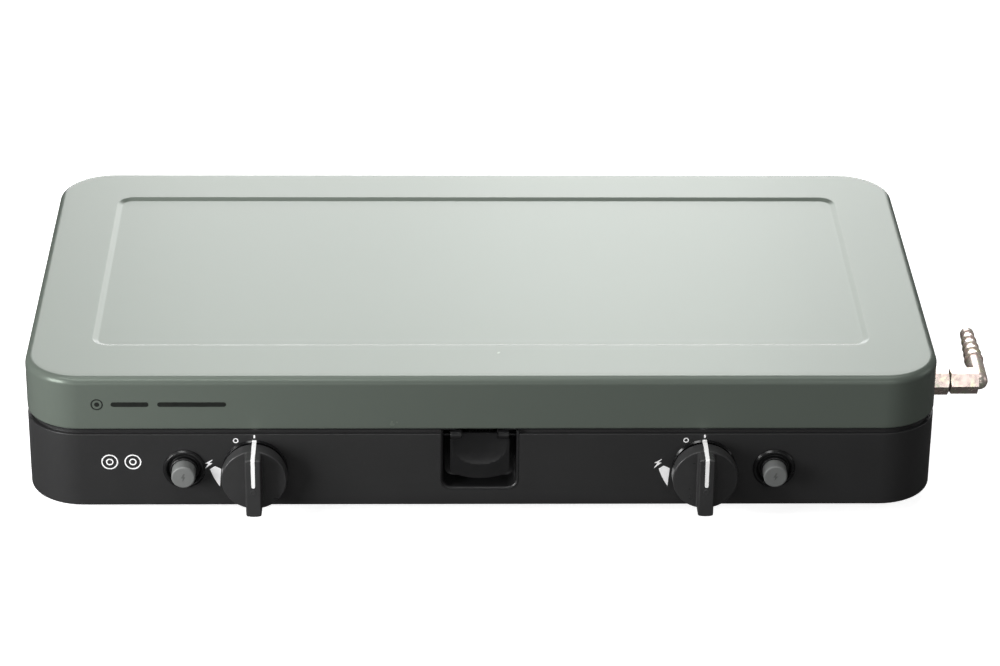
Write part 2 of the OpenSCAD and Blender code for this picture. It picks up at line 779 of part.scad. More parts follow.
module igniter_nuts() {
    color([0.1, 0.1, 0.1]) on_front() for (s = [-1, 1]) difference() {
        translate([s * igniter_x, front_y + sheet, control_z]) rotate([-90, 0, 0])
            cylinder(r = 12.6, h = 6, $fn = 6);
        rod_y(s * igniter_x, control_z, barrel_r + 0.02, front_y, front_y + 10);
    }
}

module igniter_button() {
    long = button_back - front_y + collar_len + button_push + 2.5;
    difference() {
        translate([0, button_back, control_z]) rotate([90, 0, 0]) rotate_extrude()
            polygon([[0, 0], [button_r, 0], [button_r, long - 1], [button_r - 0.8, long], [0, long]]);
        rod_y(0, control_z, 5.4, button_back - 10, button_back + e);
    }
}

module button_spring() {
    start = button_back - 9.9;
    translate([0, start, control_z]) rotate([-90, 0, 0])
        coil(4.4, 0.5, front_y + barrel_len - 3 - start - 0.1, 7);
}

// ---------- Inlet and hose elbow ----------

module inlet_connector() {
    x0 = pipe_end_x - 8;
    color([0.78, 0.72, 0.5]) on_shell() difference() {
        union() {
            rod_x(-inlet_y, inlet_z, 7.2, x0, side_x - 9);
            rod_x(-inlet_y, inlet_z, 6.5, side_x - 10, side_x + e);
            hex_x(-inlet_y, inlet_z, 15, side_x, side_x + hex_out);
            rod_x(-inlet_y, inlet_z, spigot_r, side_x + hex_out - e, elbow_x + 9);
        }
        rod_x(-inlet_y, inlet_z, pipe_r + 0.03, x0 - e, pipe_end_x);
        rod_x(-inlet_y, inlet_z, 2, x0, elbow_x + 10);
    }
}

module inlet_lock_nut() {
    color([0.78, 0.72, 0.5]) on_shell() difference() {
        hex_x(-inlet_y, inlet_z, 19, side_x - sheet - 7, side_x - sheet);
        rod_x(-inlet_y, inlet_z, 6.52, side_x - 12, side_x);
    }
}

module inlet_seal() {
    color([0.1, 0.08, 0.05]) on_shell() difference() {
        rod_x(-inlet_y, inlet_z, 6.4, side_x + hex_out, side_x + hex_out + 0.5);
        rod_x(-inlet_y, inlet_z, spigot_r + 0.02, side_x + hex_out - e, side_x + hex_out + 2);
    }
}

// Half outline of the hose tail, from its rounded heel to the tip.
// Each barb steps out and then narrows towards the tip.
function barb(i) = let (at = tail_len - 4.8 - barb_pitch * i, r = barb_r + barb_growth * i)
    [[r - 0.6, at - 0.3], [r, at]];
function tail_outline() = concat(
    [for (i = [0:5]) [tail_r * sin(18 * i), -tail_r * cos(18 * i)]],
    [for (i = [barb_count - 1:-1:0]) each barb(i)],
    [[barb_r, tail_len - 1.5], [barb_r - 1.2, tail_len], [0, tail_len]]);

module hose_elbow() {
    color([0.78, 0.72, 0.5]) on_shell() difference() {
        union() {
            hex_x(-inlet_y, inlet_z, 14, elbow_x, elbow_axis_x - 1.2);
            translate([elbow_axis_x, -inlet_y, inlet_z]) rotate([tail_tilt - 90, 0, 0])
                rotate_extrude() polygon(tail_outline());
        }
        rod_x(-inlet_y, inlet_z, spigot_r + 0.05, elbow_x - e, elbow_x + 9.5);
        rod_x(-inlet_y, inlet_z, 2, elbow_x, elbow_axis_x);
        translate([elbow_axis_x, -inlet_y, inlet_z]) rotate([tail_tilt - 90, 0, 0])
            cylinder(r = 2.2, h = tail_len + e);
    }
}

// ---------- Pan supports ----------

module at_grid_corners() {
    for (sx = [-1, 1], sy = [-1, 1]) translate([sx * peg_at, sy * peg_at, 0]) children();
}

module pan_support() {
    bend = 7;
    reach = grid_w / 2;
    translate([0, burner_y, 0]) {
        translate([0, 0, grid_ring_z]) around(grid_w, grid_w, grid_r)
            translate([grid_r, 0]) circle(grid_wire);
        for (a = [0:90:270]) rotate([0, 0, a]) {
            translate([reach, 0, grid_ring_z]) cylinder(r = finger_wire, h = finger_z - bend - grid_ring_z);
            translate([reach - bend, 0, finger_z - bend]) rotate([90, 0, 0])
                rotate_extrude(angle = 90) translate([bend, 0]) circle(finger_wire);
            rod_x(0, finger_z, finger_wire, 24, reach - bend);
        }
        at_grid_corners() {
            translate([0, 0, deck_z - 4.8]) cylinder(r = 2.1, h = grid_ring_z - deck_z + 4.8);
            translate([0, 0, deck_z + 0.1]) cylinder(r = 4, h = grid_ring_z - deck_z - 0.1);
        }
    }
}

module steel() { color([0.75, 0.75, 0.77]) on_front() children(); }
module brass() { color([0.75, 0.62, 0.33]) on_front() children(); }
module cast() { color([0.62, 0.63, 0.64]) on_front() children(); }
module enamel() { color([0.1, 0.1, 0.11]) on_front() children(); }
module black() { color([0.1, 0.1, 0.1]) on_front() children(); }
module left() { translate([-burner_x, 0, 0]) children(); }
module right() { translate([burner_x, 0, 0]) children(); }
module far_left() { translate([-igniter_x, 0, 0]) children(); }
module far_right() { translate([igniter_x, 0, 0]) children(); }

module left_valve_body() { brass() left() valve_body(); }
module right_valve_body() { brass() right() valve_body(); }
module left_valve_bonnet() { brass() left() valve_bonnet(); }
module right_valve_bonnet() { brass() right() valve_bonnet(); }
module left_injector() { brass() left() injector(); }
module right_injector() { brass() right() injector(); }
module left_mixing_tube() { cast() left() mixing_tube(); }
module right_mixing_tube() { cast() right() mixing_tube(); }
module left_burner_body() { cast() left() burner_body(); }
module right_burner_body() { cast() right() burner_body(); }
module left_burner_cap() { enamel() left() burner_cap(); }
module right_burner_cap() { enamel() right() burner_cap(); }
module left_electrode() { color([0.93, 0.92, 0.88]) on_front() electrode(-1); }
module right_electrode() { color([0.93, 0.92, 0.88]) on_front() electrode(1); }
module left_ignition_lead() { color([0.55, 0.1, 0.08]) on_front() ignition_lead(-1); }
module right_ignition_lead() { color([0.55, 0.1, 0.08]) on_front() ignition_lead(1); }
module left_igniter_body() { black() far_left() igniter_body(); }
module right_igniter_body() { black() far_right() igniter_body(); }
module left_knob() { black() left() knob(); }
module right_knob() { black() right() knob(); }
module left_spindle() { steel() left() spindle(); }
module right_spindle() { steel() right() spindle(); }
module left_valve_plug() { brass() left() valve_plug(); }
module right_valve_plug() { brass() right() valve_plug(); }
module left_valve_spring() { steel() left() valve_spring(); }
module right_valve_spring() { steel() right() valve_spring(); }
module left_igniter_button() { color([0.48, 0.49, 0.48]) on_front() far_left() igniter_button(); }
module right_igniter_button() { color([0.48, 0.49, 0.48]) on_front() far_right() igniter_button(); }
module left_button_spring() { steel() far_left() button_spring(); }
module right_button_spring() { steel() far_right() button_spring(); }
module left_pan_support() { enamel() left() pan_support(); }
module right_pan_support() { enamel() right() pan_support(); }

base_pan();
hob_plate();
deck_posts();
rubber_feet();
foot_screws();
hob_screws();
latch_housing();
latch_pin();
base_hinge_leaves();
hinge_pins();
base_hinge_rivets();
manifold_pipe();
manifold_clips();
left_valve_body();
right_valve_body();
left_valve_bonnet();
right_valve_bonnet();
bonnet_screws();
left_injector();
right_injector();
left_mixing_tube();
right_mixing_tube();
left_burner_body();
right_burner_body();
left_burner_cap();
right_burner_cap();
burner_screws();
left_electrode();
right_electrode();
electrode_tips();
left_ignition_lead();
right_ignition_lead();
left_igniter_body();
right_igniter_body();
igniter_nuts();
knob_bezels();
inlet_connector();
inlet_lock_nut();
inlet_seal();
lid_shell();
lid_catch();
lid_hinge_leaves();
lid_hinge_rivets();
latch_paddle();
latch_spring();
left_knob();
right_knob();
left_spindle();
right_spindle();
left_valve_plug();
right_valve_plug();
left_valve_spring();
right_valve_spring();
left_igniter_button();
right_igniter_button();
left_button_spring();
right_button_spring();
left_pan_support();
right_pan_support();
hose_elbow();
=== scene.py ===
import json
import math

import bmesh
import bpy
from mathutils import Matrix, Vector


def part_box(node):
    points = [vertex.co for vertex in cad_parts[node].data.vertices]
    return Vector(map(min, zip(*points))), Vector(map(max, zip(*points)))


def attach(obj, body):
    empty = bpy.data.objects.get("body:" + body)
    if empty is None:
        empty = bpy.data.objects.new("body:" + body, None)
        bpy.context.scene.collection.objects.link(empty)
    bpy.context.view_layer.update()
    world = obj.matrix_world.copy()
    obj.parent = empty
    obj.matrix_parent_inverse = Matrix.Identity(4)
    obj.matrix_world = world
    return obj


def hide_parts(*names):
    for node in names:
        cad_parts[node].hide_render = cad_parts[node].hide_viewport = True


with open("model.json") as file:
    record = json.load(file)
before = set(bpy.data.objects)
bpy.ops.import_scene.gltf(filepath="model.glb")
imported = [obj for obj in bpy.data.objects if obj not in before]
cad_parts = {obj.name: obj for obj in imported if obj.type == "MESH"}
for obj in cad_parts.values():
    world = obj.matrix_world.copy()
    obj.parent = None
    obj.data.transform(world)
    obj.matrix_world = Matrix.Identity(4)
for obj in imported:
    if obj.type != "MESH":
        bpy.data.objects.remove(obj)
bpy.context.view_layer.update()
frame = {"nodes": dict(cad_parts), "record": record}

scene = bpy.context.scene

# ---------- Sizes, in millimetres ----------

MM = 0.001
SHEET = 1.0
HOB_SHEET = 0.8
CORNER_R = 33.5
LID_EDGE_R = 4.8
BASE_EDGE_R = 1.4
PANEL_SIZE = (457.0, 205.0)
PANEL_R = 8.5
PANEL_SINK = 1.2
PANEL_SHIFT = 2.5
LID_HEM_R = 1.8
LID_HEM_WIDE = 3.4
NECK_DEEP = 2.6
NECK_TALL = 2.0
HEM_DROP = 0.5
WELL_INSET = 17.0
POCKET_R = 6.5
POCKET_WALL = 1.5
GROOVE_LONG = 2.4
GROOVE_DEEP = 0.8
EDGE_BREAK = 0.15


def box_mm(node):
    """Lowest corner, highest corner and middle of a CAD node."""
    lo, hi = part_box(node)
    return lo / MM, hi / MM, (lo + hi) / 2 / MM


# What the CAD boxes give is read from them.
base_lo, base_hi, base_mid = box_mm("base_pan")
lid_lo, lid_hi, _ = box_mm("lid_shell")
hob_lo, hob_hi, _ = box_mm("hob_plate")
front = base_lo.y
size = (base_hi.x - base_lo.x, base_hi.y - base_lo.y)
base_z, rim_z = base_lo.z, base_hi.z
seam_z, lid_z = lid_lo.z, lid_hi.z
hob_z = hob_hi.z
deck_z = hob_lo.z + HOB_SHEET


# ---------- Mesh helpers ----------


def rounded(points, radii, steps=4):
    """A profile's points, with each inner corner rounded to its radius."""
    out = [Vector(points[0])]
    for p, q, s, r in zip(points, points[1:], points[2:], radii):
        p, q, s = Vector(p), Vector(q), Vector(s)
        a, b = (p - q), (s - q)
        turn = a.angle(b)
        if r <= 0 or turn > math.radians(178):
            out.append(q)
            continue
        reach = min(r / math.tan(turn / 2), a.length * 0.49, b.length * 0.49)
        r = reach * math.tan(turn / 2)
        a.normalize()
        b.normalize()
        centre = q + (a + b).normalized() * (r / math.sin(turn / 2))
        first, last = q + a * reach - centre, q + b * reach - centre
        whole = first.angle(last)
        for i in range(steps + 1):
            t = i / steps
            mixed = (first * math.sin((1 - t) * whole) + last * math.sin(t * whole)) / math.sin(whole)
            out.append(centre + mixed)
    out.append(Vector(points[-1]))
    return out


def ring(centre, wide, deep, r, z, steps=14):
    """A level rounded rectangle, anticlockwise from its front right corner."""
    r = max(min(r, wide / 2 - 0.01, deep / 2 - 0.01), 0.2)
    points = []
    for k, (sx, sy) in enumerate(((1, -1), (1, 1), (-1, 1), (-1, -1))):
        for i in range(steps + 1):
            a = math.radians(90 * k - 90 + 90 * i / steps)
            points.append(
                Vector(
                    (
                        centre[0] + sx * (wide / 2 - r) + r * math.cos(a),
                        centre[1] + sy * (deep / 2 - r) + r * math.sin(a),
                        z,
                    )
                )
            )
    return points


def shell_ring(inset, z):
    """The stove's outline, drawn in by the inset."""
    return ring(base_mid, size[0] - 2 * inset, size[1] - 2 * inset, CORNER_R - inset, z)


def loft(bm, loops, caps=(False, False), closed=False):
    """Joins loops of points by a skin; caps close the first and the last loop."""
    rows = [[bm.verts.new(p) for p in loop] for loop in loops]
    n = len(rows[0])
    follow = rows[1:] + ([rows[0]] if closed else [])
    for a, b in zip(rows, follow):
        for i in range(n):
            j = (i + 1) % n
            bm.faces.new((a[i], a[j], b[j], b[i]))
    if caps[0]:
        bm.faces.new(rows[0][::-1])
    if caps[1]:
        bm.faces.new(rows[-1])


def lathe(bm, profile, at, axis, steps=64, closed=False):
    """Turns a profile of (radius, distance along the axis) about an axis."""
    axis = Vector(axis).normalized()
    side = axis.orthogonal().normalized()
    up = axis.cross(side)
    rows = []
    for r, h in profile:
        centre = Vector(at) + axis * h
        if r < 1e-4:
            rows.append([bm.verts.new(centre)] * steps)
            continue
        rows.append(
            [
                bm.verts.new(
                    centre
                    + side * (r * math.cos(2 * math.pi * i / steps))
                    + up * (r * math.sin(2 * math.pi * i / steps))
                )
                for i in range(steps)
            ]
        )
    for a, b in zip(rows, rows[1:] + ([rows[0]] if closed else [])):
        for i in range(steps):
            j = (i + 1) % steps
            corners = []
            for v in (a[i], a[j], b[j], b[i]):
                if v not in corners:
                    corners.append(v)
            if len(corners) > 2:
                bm.faces.new(corners)


def prism(bm, outline, direction):
    """A flat outline pushed along a direction."""
    direction = Vector(direction)
    low = [bm.verts.new(p) for p in outline]
    high = [bm.verts.new(Vector(p) + direction) for p in outline]
    n = len(low)
    for i in range(n):
        j = (i + 1) % n
        bm.faces.new((low[i], low[j], high[j], high[i]))
    bm.faces.new(low[::-1])
    bm.faces.new(high)


def block(bm, lo, hi):
    """A box between two opposite corners."""
    outline = [(x, y, lo[2]) for x, y in ((lo[0], lo[1]), (hi[0], lo[1]), (hi[0], hi[1]), (lo[0], hi[1]))]
    prism(bm, outline, (0, 0, hi[2] - lo[2]))


def soften(bm, width, segments=3, above=30):
    """Rounds every edge that turns by more than an angle."""
    bmesh.ops.recalc_face_normals(bm, faces=bm.faces)
    edges = [e for e in bm.edges if len(e.link_faces) == 2 and e.calc_face_angle(0) > math.radians(above)]
    bmesh.ops.bevel(
        bm, geom=edges, offset=width, segments=segments, affect="EDGES", profile=0.5, clamp_overlap=True
    )


def tube(bm, points, r, steps=14, closed=False, round_ends=True):
    """A round wire along a smooth line of points."""
    n = len(points)
    points = [Vector(p) for p in points]
    loops = []
    up = None
    for i, p in enumerate(points):
        before = points[i - 1] if closed or i else p
        after = points[(i + 1) % n] if closed or i < n - 1 else p
        along = (after - before).normalized()
        if up is None:
            up = along.orthogonal().normalized()
        up = (up - along * up.dot(along)).normalized()
        side = along.cross(up)
        turn = [2 * math.pi * k / steps for k in range(steps)]
        disc = [side * math.cos(a) + up * math.sin(a) for a in turn]
        if round_ends and not closed and i == 0:
            for k in range(1, 4):
                a = math.radians(90 - 22.5 * k)
                loops.append([p - along * (r * math.sin(a)) + d * (r * math.cos(a)) for d in disc])
        loops.append([p + d * r for d in disc])
        if round_ends and not closed and i == n - 1:
            for k in range(1, 4):
                a = math.radians(22.5 * k)
                loops.append([p + along * (r * math.sin(a)) + d * (r * math.cos(a)) for d in disc])
    loft(bm, loops, caps=(not closed, not closed), closed=closed)


def blob(bm, at, radii, rings=8, steps=20):
    """A weld bead or a rounded lump."""
    profile = [(math.sin(math.pi * i / rings), -math.cos(math.pi * i / rings)) for i in range(rings + 1)]
    start = len(bm.verts)
    lathe(bm, profile, (0, 0, 0), (0, 0, 1), steps)
    bm.verts.ensure_lookup_table()
    for v in bm.verts[start:]:
        v.co = Vector((v.co.x * radii[0], v.co.y * radii[1], v.co.z * radii[2])) + Vector(at)


def merge(bm, extra):
    """Adds the second mesh to the first and frees it."""
    spare = bpy.data.meshes.new("spare")
    extra.to_mesh(spare)
    extra.free()
    bm.from_mesh(spare)
    bpy.data.meshes.remove(spare)


def to_mesh(name, bm):
    """Turns a mesh drawn in millimetres into one in metres and frees the drawing."""
    bmesh.ops.recalc_face_normals(bm, faces=bm.faces)
    for v in bm.verts:
        v.co *= MM
    mesh = bpy.data.meshes.new(name)
    bm.to_mesh(mesh)
    bm.free()
    return mesh


def carve(bm, tool, operation="DIFFERENCE"):
    """The first solid cut by the second, or their common part."""
    pair = []
    for source in (bm, tool):
        pair.append(bpy.data.objects.new("carving", to_mesh("carving", source)))
        scene.collection.objects.link(pair[-1])
    work = pair[0].modifiers.new("cut", "BOOLEAN")
    work.operation = operation
    work.solver = "EXACT"
    work.object = pair[1]
    bpy.context.view_layer.update()
    done = pair[0].evaluated_get(bpy.context.evaluated_depsgraph_get()).to_mesh()
    result = bmesh.new()
    result.from_mesh(done)
    for v in result.verts:
        v.co /= MM
    pair[0].to_mesh_clear()
    for o in pair:
        spare = o.data
        bpy.data.objects.remove(o)
        bpy.data.meshes.remove(spare)
    return result


def piece(name, bm, finish, body, nodes=(), smooth=32, weighted=True):
    """Puts a finished mesh in the scene, riding on its body."""
    mesh = to_mesh(name, bm)
    mesh.shade_smooth()
    mesh.set_sharp_from_angle(angle=math.radians(smooth))
    mesh.materials.append(finish)
    obj = bpy.data.objects.new(name, mesh)
    scene.collection.objects.link(obj)
    if weighted:
        normals = obj.modifiers.new("even_shading", "WEIGHTED_NORMAL")
        normals.keep_sharp = True
        normals.weight = 100
    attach(obj, body)
    if nodes:
        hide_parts(*nodes)


# ---------- Materials ----------


class Nodes:
    """Short names for building one material's node tree."""

    def __init__(self, name, **values):
        self.material = bpy.data.materials.new(name)
        self.material.use_nodes = True
        self.tree = self.material.node_tree
        self.shader = self.tree.nodes["Principled BSDF"]
        for socket, value in values.items():
            self.shader.inputs[socket.replace("_", " ")].default_value = value
        self.place = self.tree.nodes.new("ShaderNodeTexCoord").outputs["Object"]

    def stretched(self, scale):
        node = self.tree.nodes.new("ShaderNodeMapping")
        node.inputs["Scale"].default_value = scale
        self.tree.links.new(self.place, node.inputs["Vector"])
        return node.outputs["Vector"]

    def noise(self, scale, detail=2.0, rough=0.5, place=None):
        node = self.tree.nodes.new("ShaderNodeTexNoise")
        node.inputs["Scale"].default_value = scale
        node.inputs["Detail"].default_value = detail
        node.inputs["Roughness"].default_value = rough
        self.tree.links.new(place or self.place, node.inputs["Vector"])
        return node.outputs["Fac"]

    def cells(self, scale):
        node = self.tree.nodes.new("ShaderNodeTexVoronoi")
        node.inputs["Scale"].default_value = scale
        self.tree.links.new(self.place, node.inputs["Vector"])
        return node.outputs["Distance"]

    def ramp(self, value, stops):
        node = self.tree.nodes.new("ShaderNodeValToRGB")
        while len(node.color_ramp.elements) < len(stops):
            node.color_ramp.elements.new(0.5)
        for element, (at, rgb) in zip(node.color_ramp.elements, stops):
            element.position = at
            element.color = (*rgb, 1)
        self.tree.links.new(value, node.inputs["Fac"])
        return node.outputs["Color"]

    def span(self, value, low, high, a=0.3, b=0.7):
        node = self.tree.nodes.new("ShaderNodeMapRange")
        for socket, number in (("From Min", a), ("From Max", b), ("To Min", low), ("To Max", high)):
            node.inputs[socket].default_value = number
        self.tree.links.new(value, node.inputs["Value"])
        return node.outputs["Result"]

    def mix(self, factor, first, second):
        node = self.tree.nodes.new("ShaderNodeMix")
        node.data_type = "RGBA"
        self.tree.links.new(factor, node.inputs["Factor"])
        for socket, value in ((node.inputs[6], first), (node.inputs[7], second)):
            if isinstance(value, tuple):
                socket.default_value = (*value, 1)
            else:
                self.tree.links.new(value, socket)
        return node.outputs[2]

    def edges(self, low, high):
        """How worn a spot is: higher on outward edges."""
        geometry = self.tree.nodes.new("ShaderNodeNewGeometry")
        return self.span(geometry.outputs["Pointiness"], 0.0, 1.0, low, high)

    def bump(self, height, strength, distance, under=None):
        node = self.tree.nodes.new("ShaderNodeBump")
        node.inputs["Strength"].default_value = strength
        node.inputs["Distance"].default_value = distance
        self.tree.links.new(height, node.inputs["Height"])
        if under:
            self.tree.links.new(under, node.inputs["Normal"])
        return node.outputs["Normal"]

    def done(self, colour=None, rough=None, normal=None):
        for socket, value in (("Base Color", colour), ("Roughness", rough), ("Normal", normal)):
            if value is not None:
                self.tree.links.new(value, self.shader.inputs[socket])
        return self.material


def shade(rgb, by):
    return tuple(c * by for c in rgb)


def painted(name, rgb, rough, spread, peel, patchy=0.14, worn=0.12, tint=(1, 1, 1), dust=0.03):
    """Painted steel: soft colour drift, fine orange peel, dust specks and paler worn edges."""
    n = Nodes(name, Specular_Tint=(*tint, 1))
    drift = n.noise(7, 3)
    grain = n.noise(900, 2)
    colour = n.ramp(drift, ((0.3, shade(rgb, 1 - spread)), (0.7, shade(rgb, 1 + spread))))
    dusty = n.ramp(n.noise(700, 3, 0.6), ((0.6, (0, 0, 0)), (0.85, (1, 1, 1))))
    colour = n.mix(n.span(dusty, 0.0, dust, 0, 1), colour, (0.4, 0.4, 0.38))
    colour = n.mix(n.span(n.edges(0.52, 0.6), 0, worn, 0, 1), colour, (0.42, 0.42, 0.4))
    gloss = n.span(n.noise(40, 4), rough * (1 - patchy), rough * (1 + patchy), 0.2, 0.8)
    soft = n.bump(n.noise(12, 1), 0.01, 0.0006)
    return n.done(colour, gloss, n.bump(grain, peel, 0.00012, soft))


def moulded(name, rgb, rough, spread=0.06, grain=0.25, worn=0.2):
    """Moulded plastic or rubber: fine spark-eroded grain, faint flow marks and polished edges."""
    n = Nodes(name)
    colour = n.ramp(n.noise(60, 3), ((0.3, shade(rgb, 1 - spread)), (0.7, shade(rgb, 1 + spread))))
    colour = n.mix(n.span(n.edges(0.53, 0.64), 0, worn, 0, 1), colour, shade(rgb, 2.2))
    fine = n.noise(2600, 2, 0.6)
    gloss = n.span(n.noise(150, 4), rough * 0.85, rough * 1.15)
    return n.done(colour, gloss, n.bump(fine, grain, 0.00008, n.bump(n.noise(90, 2), 0.06, 0.0004)))


def plated(name, stops, rough, scale=90.0, scratch=0.15, metallic=1.0):
    """Plated or bare metal: blotchy plating, drawing lines and fine scratches."""
    n = Nodes(name, Metallic=metallic)
    tint = n.noise(scale, 4, 0.6)
    colour = n.ramp(tint, stops)
    dull = n.ramp(n.noise(scale * 5, 5, 0.7), ((0.5, (0, 0, 0)), (0.8, (1, 1, 1))))
    colour = n.mix(n.span(dull, 0, 0.22, 0, 1), colour, shade(stops[0][1], 0.45))
    lines = n.noise(500, 3, 0.6, n.stretched((1, 14, 14)))
    gloss = n.span(n.noise(scale * 2, 4), rough * 0.75, rough * 1.3)
    return n.done(colour, gloss, n.bump(lines, scratch, 0.00008))


def enamelled(name, rgb, rough):
    """Vitreous enamel: a glossy coat with fine pale flecks and a wavy surface."""
    n = Nodes(name, Coat_Weight=0.35, Coat_Roughness=0.12)
    flecks = n.ramp(n.cells(420), ((0.03, (1, 1, 1)), (0.09, (0, 0, 0))))
    colour = n.mix(n.span(flecks, 0, 0.35, 0, 1), rgb, (0.2, 0.205, 0.21))
    colour = n.mix(n.span(n.noise(9, 2), 0.0, 0.1), colour, shade(rgb, 1.6))
    gloss = n.span(n.noise(60, 2), rough * 0.93, rough * 1.08, 0.2, 0.8)
    return n.done(colour, gloss, n.bump(n.noise(70, 2), 0.035, 0.0004))


def cast(name, rgb, rough):
    """Sand-cast or die-cast alloy: coarse skin, pores and heat-darkened patches."""
    n = Nodes(name, Metallic=1.0)
    heat = n.noise(35, 4, 0.6)
    colour = n.ramp(heat, ((0.3, shade(rgb, 0.55)), (0.7, rgb)))
    pores = n.ramp(n.cells(900), ((0.0, (0.2, 0.2, 0.2)), (0.25, (1, 1, 1))))
    gloss = n.span(n.noise(200, 4), rough * 0.85, rough * 1.2)
    return n.done(colour, gloss, n.bump(n.noise(700, 4, 0.7), 0.5, 0.0002, n.bump(pores, 0.2, 0.0001)))


def printed(name, rgb, rough=0.42, glow=0.0):
    """Pad-printed ink: slightly patchy cover and a fine raised grain. Glow is painted light: the ink shines
    faintly by itself, as if brightly lit.
    """
    n = Nodes(name, Emission_Color=(1, 1, 1, 1), Emission_Strength=glow)
    colour = n.ramp(n.noise(500, 3), ((0.3, shade(rgb, 0.93)), (0.6, rgb)))
    gloss = n.span(n.noise(350, 3), rough * 0.85, rough * 1.2)
    return n.done(colour, gloss, n.bump(n.noise(3000, 2), 0.15, 0.00003))


SAGE = (0.121, 0.1415, 0.122)
COAL = (0.0262, 0.0262, 0.0267)

lid_paint = painted(
    "lid_satin_paint", SAGE, 0.27, 0.008, 0.04, patchy=0.015, worn=0.02, tint=(0.87, 1, 0.87), dust=0.004
)
base_paint = painted("base_satin_paint", COAL, 0.4, 0.05, 0.08, worn=0.02)
hob_enamel = enamelled("hob_enamel", (0.012, 0.012, 0.013), 0.24)
zinc_steel = plated("zinc_plated_steel", ((0.3, (0.52, 0.52, 0.53)), (0.7, (0.66, 0.67, 0.69))), 0.3)
spring_steel = plated("spring_steel", ((0.3, (0.42, 0.42, 0.42)), (0.7, (0.58, 0.58, 0.57))), 0.26)
brass = plated("brass", ((0.3, (0.68, 0.5, 0.22)), (0.7, (0.8, 0.62, 0.3))), 0.3)
cast_alloy = cast("cast_alloy", (0.56, 0.57, 0.58), 0.5)
yellow_zinc = plated(
    "yellow_zinc",
    (
        (0.3, (0.86, 0.78, 0.50)),
        (0.4, (0.92, 0.88, 0.70)),
        (0.5, (0.90, 0.70, 0.66)),
        (0.6, (0.93, 0.86, 0.76)),
        (0.7, (0.72, 0.80, 0.54)),
    ),
    0.24,
    scale=130,
    scratch=0.1,
    metallic=0.6,
)
black_plastic = moulded("black_plastic", (0.043, 0.043, 0.0435), 0.32, worn=0.1)
gloss_plastic = moulded("gloss_black_plastic", (0.006, 0.006, 0.0065), 0.16, grain=0.05)
satin_plastic = moulded("satin_black_plastic", (0.011, 0.011, 0.0113), 0.24, grain=0.08)
latch_plastic = moulded("latch_black_plastic", (0.013, 0.013, 0.0135), 0.34, worn=0.05)
black_oxide = plated("black_oxide", ((0.3, (0.02, 0.02, 0.021)), (0.7, (0.035, 0.035, 0.036))), 0.35)
grey_plastic = moulded("grey_plastic", (0.2, 0.206, 0.202), 0.42, worn=0.1)
bolt_plastic = moulded("grey_plastic_mark", (0.12, 0.123, 0.121), 0.4)
black_rubber = moulded("black_rubber", (0.018, 0.018, 0.018), 0.75, grain=0.5)
lead_sleeve = moulded("lead_sleeve", (0.28, 0.03, 0.02), 0.5)
ceramic = moulded("glazed_ceramic", (0.74, 0.72, 0.66), 0.2, grain=0.05, worn=0.0)
# Painted light: the white ink glows faintly by itself so the printed marks stay bright white.
white_ink_painted_glow = printed("white_ink_painted_glow", (0.93, 0.93, 0.93), glow=0.22)
black_ink = printed("black_ink", (0.010, 0.012, 0.010))
# Painted light: the white inlay glows faintly by itself so the pointers and index marks stay bright white.
white_inlay_painted_glow = printed("white_inlay_painted_glow", (0.93, 0.93, 0.92), 0.35, glow=0.22)

BY_SLOT = {
    "lid_paint": lid_paint,
    "base_paint": base_paint,
    "hob_enamel": hob_enamel,
    "zinc_steel": zinc_steel,
    "spring_steel": spring_steel,
    "brass": brass,
    "cast_alloy": cast_alloy,
    "yellow_zinc": yellow_zinc,
    "black_plastic": black_plastic,
    "grey_plastic": grey_plastic,
    "black_rubber": black_rubber,
    "lead_sleeve": lead_sleeve,
    "ceramic": ceramic,
}
node_slot = {part["node"]: part["material_slot"] for part in frame["record"]["subparts"]}
for node_name, cad in frame["nodes"].items():
    cad.data.materials.clear()
    cad.data.materials.append(BY_SLOT[node_slot[node_name]])
    edge = cad.modifiers.new("edge_break", "BEVEL")
    edge.width = EDGE_BREAK * MM
    edge.segments = 2
    edge.limit_method = "ANGLE"
    edge.angle_limit = math.radians(50)
    edge.harden_normals = True
for blackened in ("latch_pin", "latch_spring"):
    frame["nodes"][blackened].data.materials[0] = black_oxide


# ---------- Lid ----------


def panel_ring(out, z):
    """The outline of the lid's sunk panel, drawn out by a distance."""
    centre = (base_mid.x, base_mid.y + PANEL_SHIFT)
    return ring(centre, PANEL_SIZE[0] + 2 * out, PANEL_SIZE[1] + 2 * out, PANEL_R + out, z)


def make_lid():
    """The lid's pressing, outside and inside. A profile point is (distance in or out, height)."""
    floor = lid_z - PANEL_SINK
    hem = seam_z - HEM_DROP
    land, slope, step_r = 9, 3.2, 2.5
    wall = rounded(
        [(land, lid_z), (0, lid_z), (0, hem), (LID_HEM_WIDE, hem), (LID_HEM_WIDE, hem + SHEET)],
        [LID_EDGE_R, LID_HEM_R, 0.3],
        8,
    )
    inside = rounded(
        [(LID_HEM_WIDE, hem + SHEET), (SHEET, hem + SHEET), (SHEET, lid_z - SHEET), (land, lid_z - SHEET)],
        [0.2, LID_EDGE_R - SHEET],
        8,
    )
    step = rounded(
        [(6, lid_z), (slope / 2, lid_z), (-slope / 2, floor), (-8, floor)], [step_r, step_r], 6
    )
    loops = [panel_ring(o, z) for o, z in reversed(step)]
    loops += [shell_ring(i, z) for i, z in wall]
    loops += [shell_ring(i, z) for i, z in inside[1:]]
    loops += [panel_ring(o + SHEET * 0.3, z - SHEET) for o, z in step]
    bm = bmesh.new()
    loft(bm, loops, caps=(True, True))
    piece("lid_skin", bm, lid_paint, "lid", ["lid_shell"])


make_lid()


# ---------- Base ----------


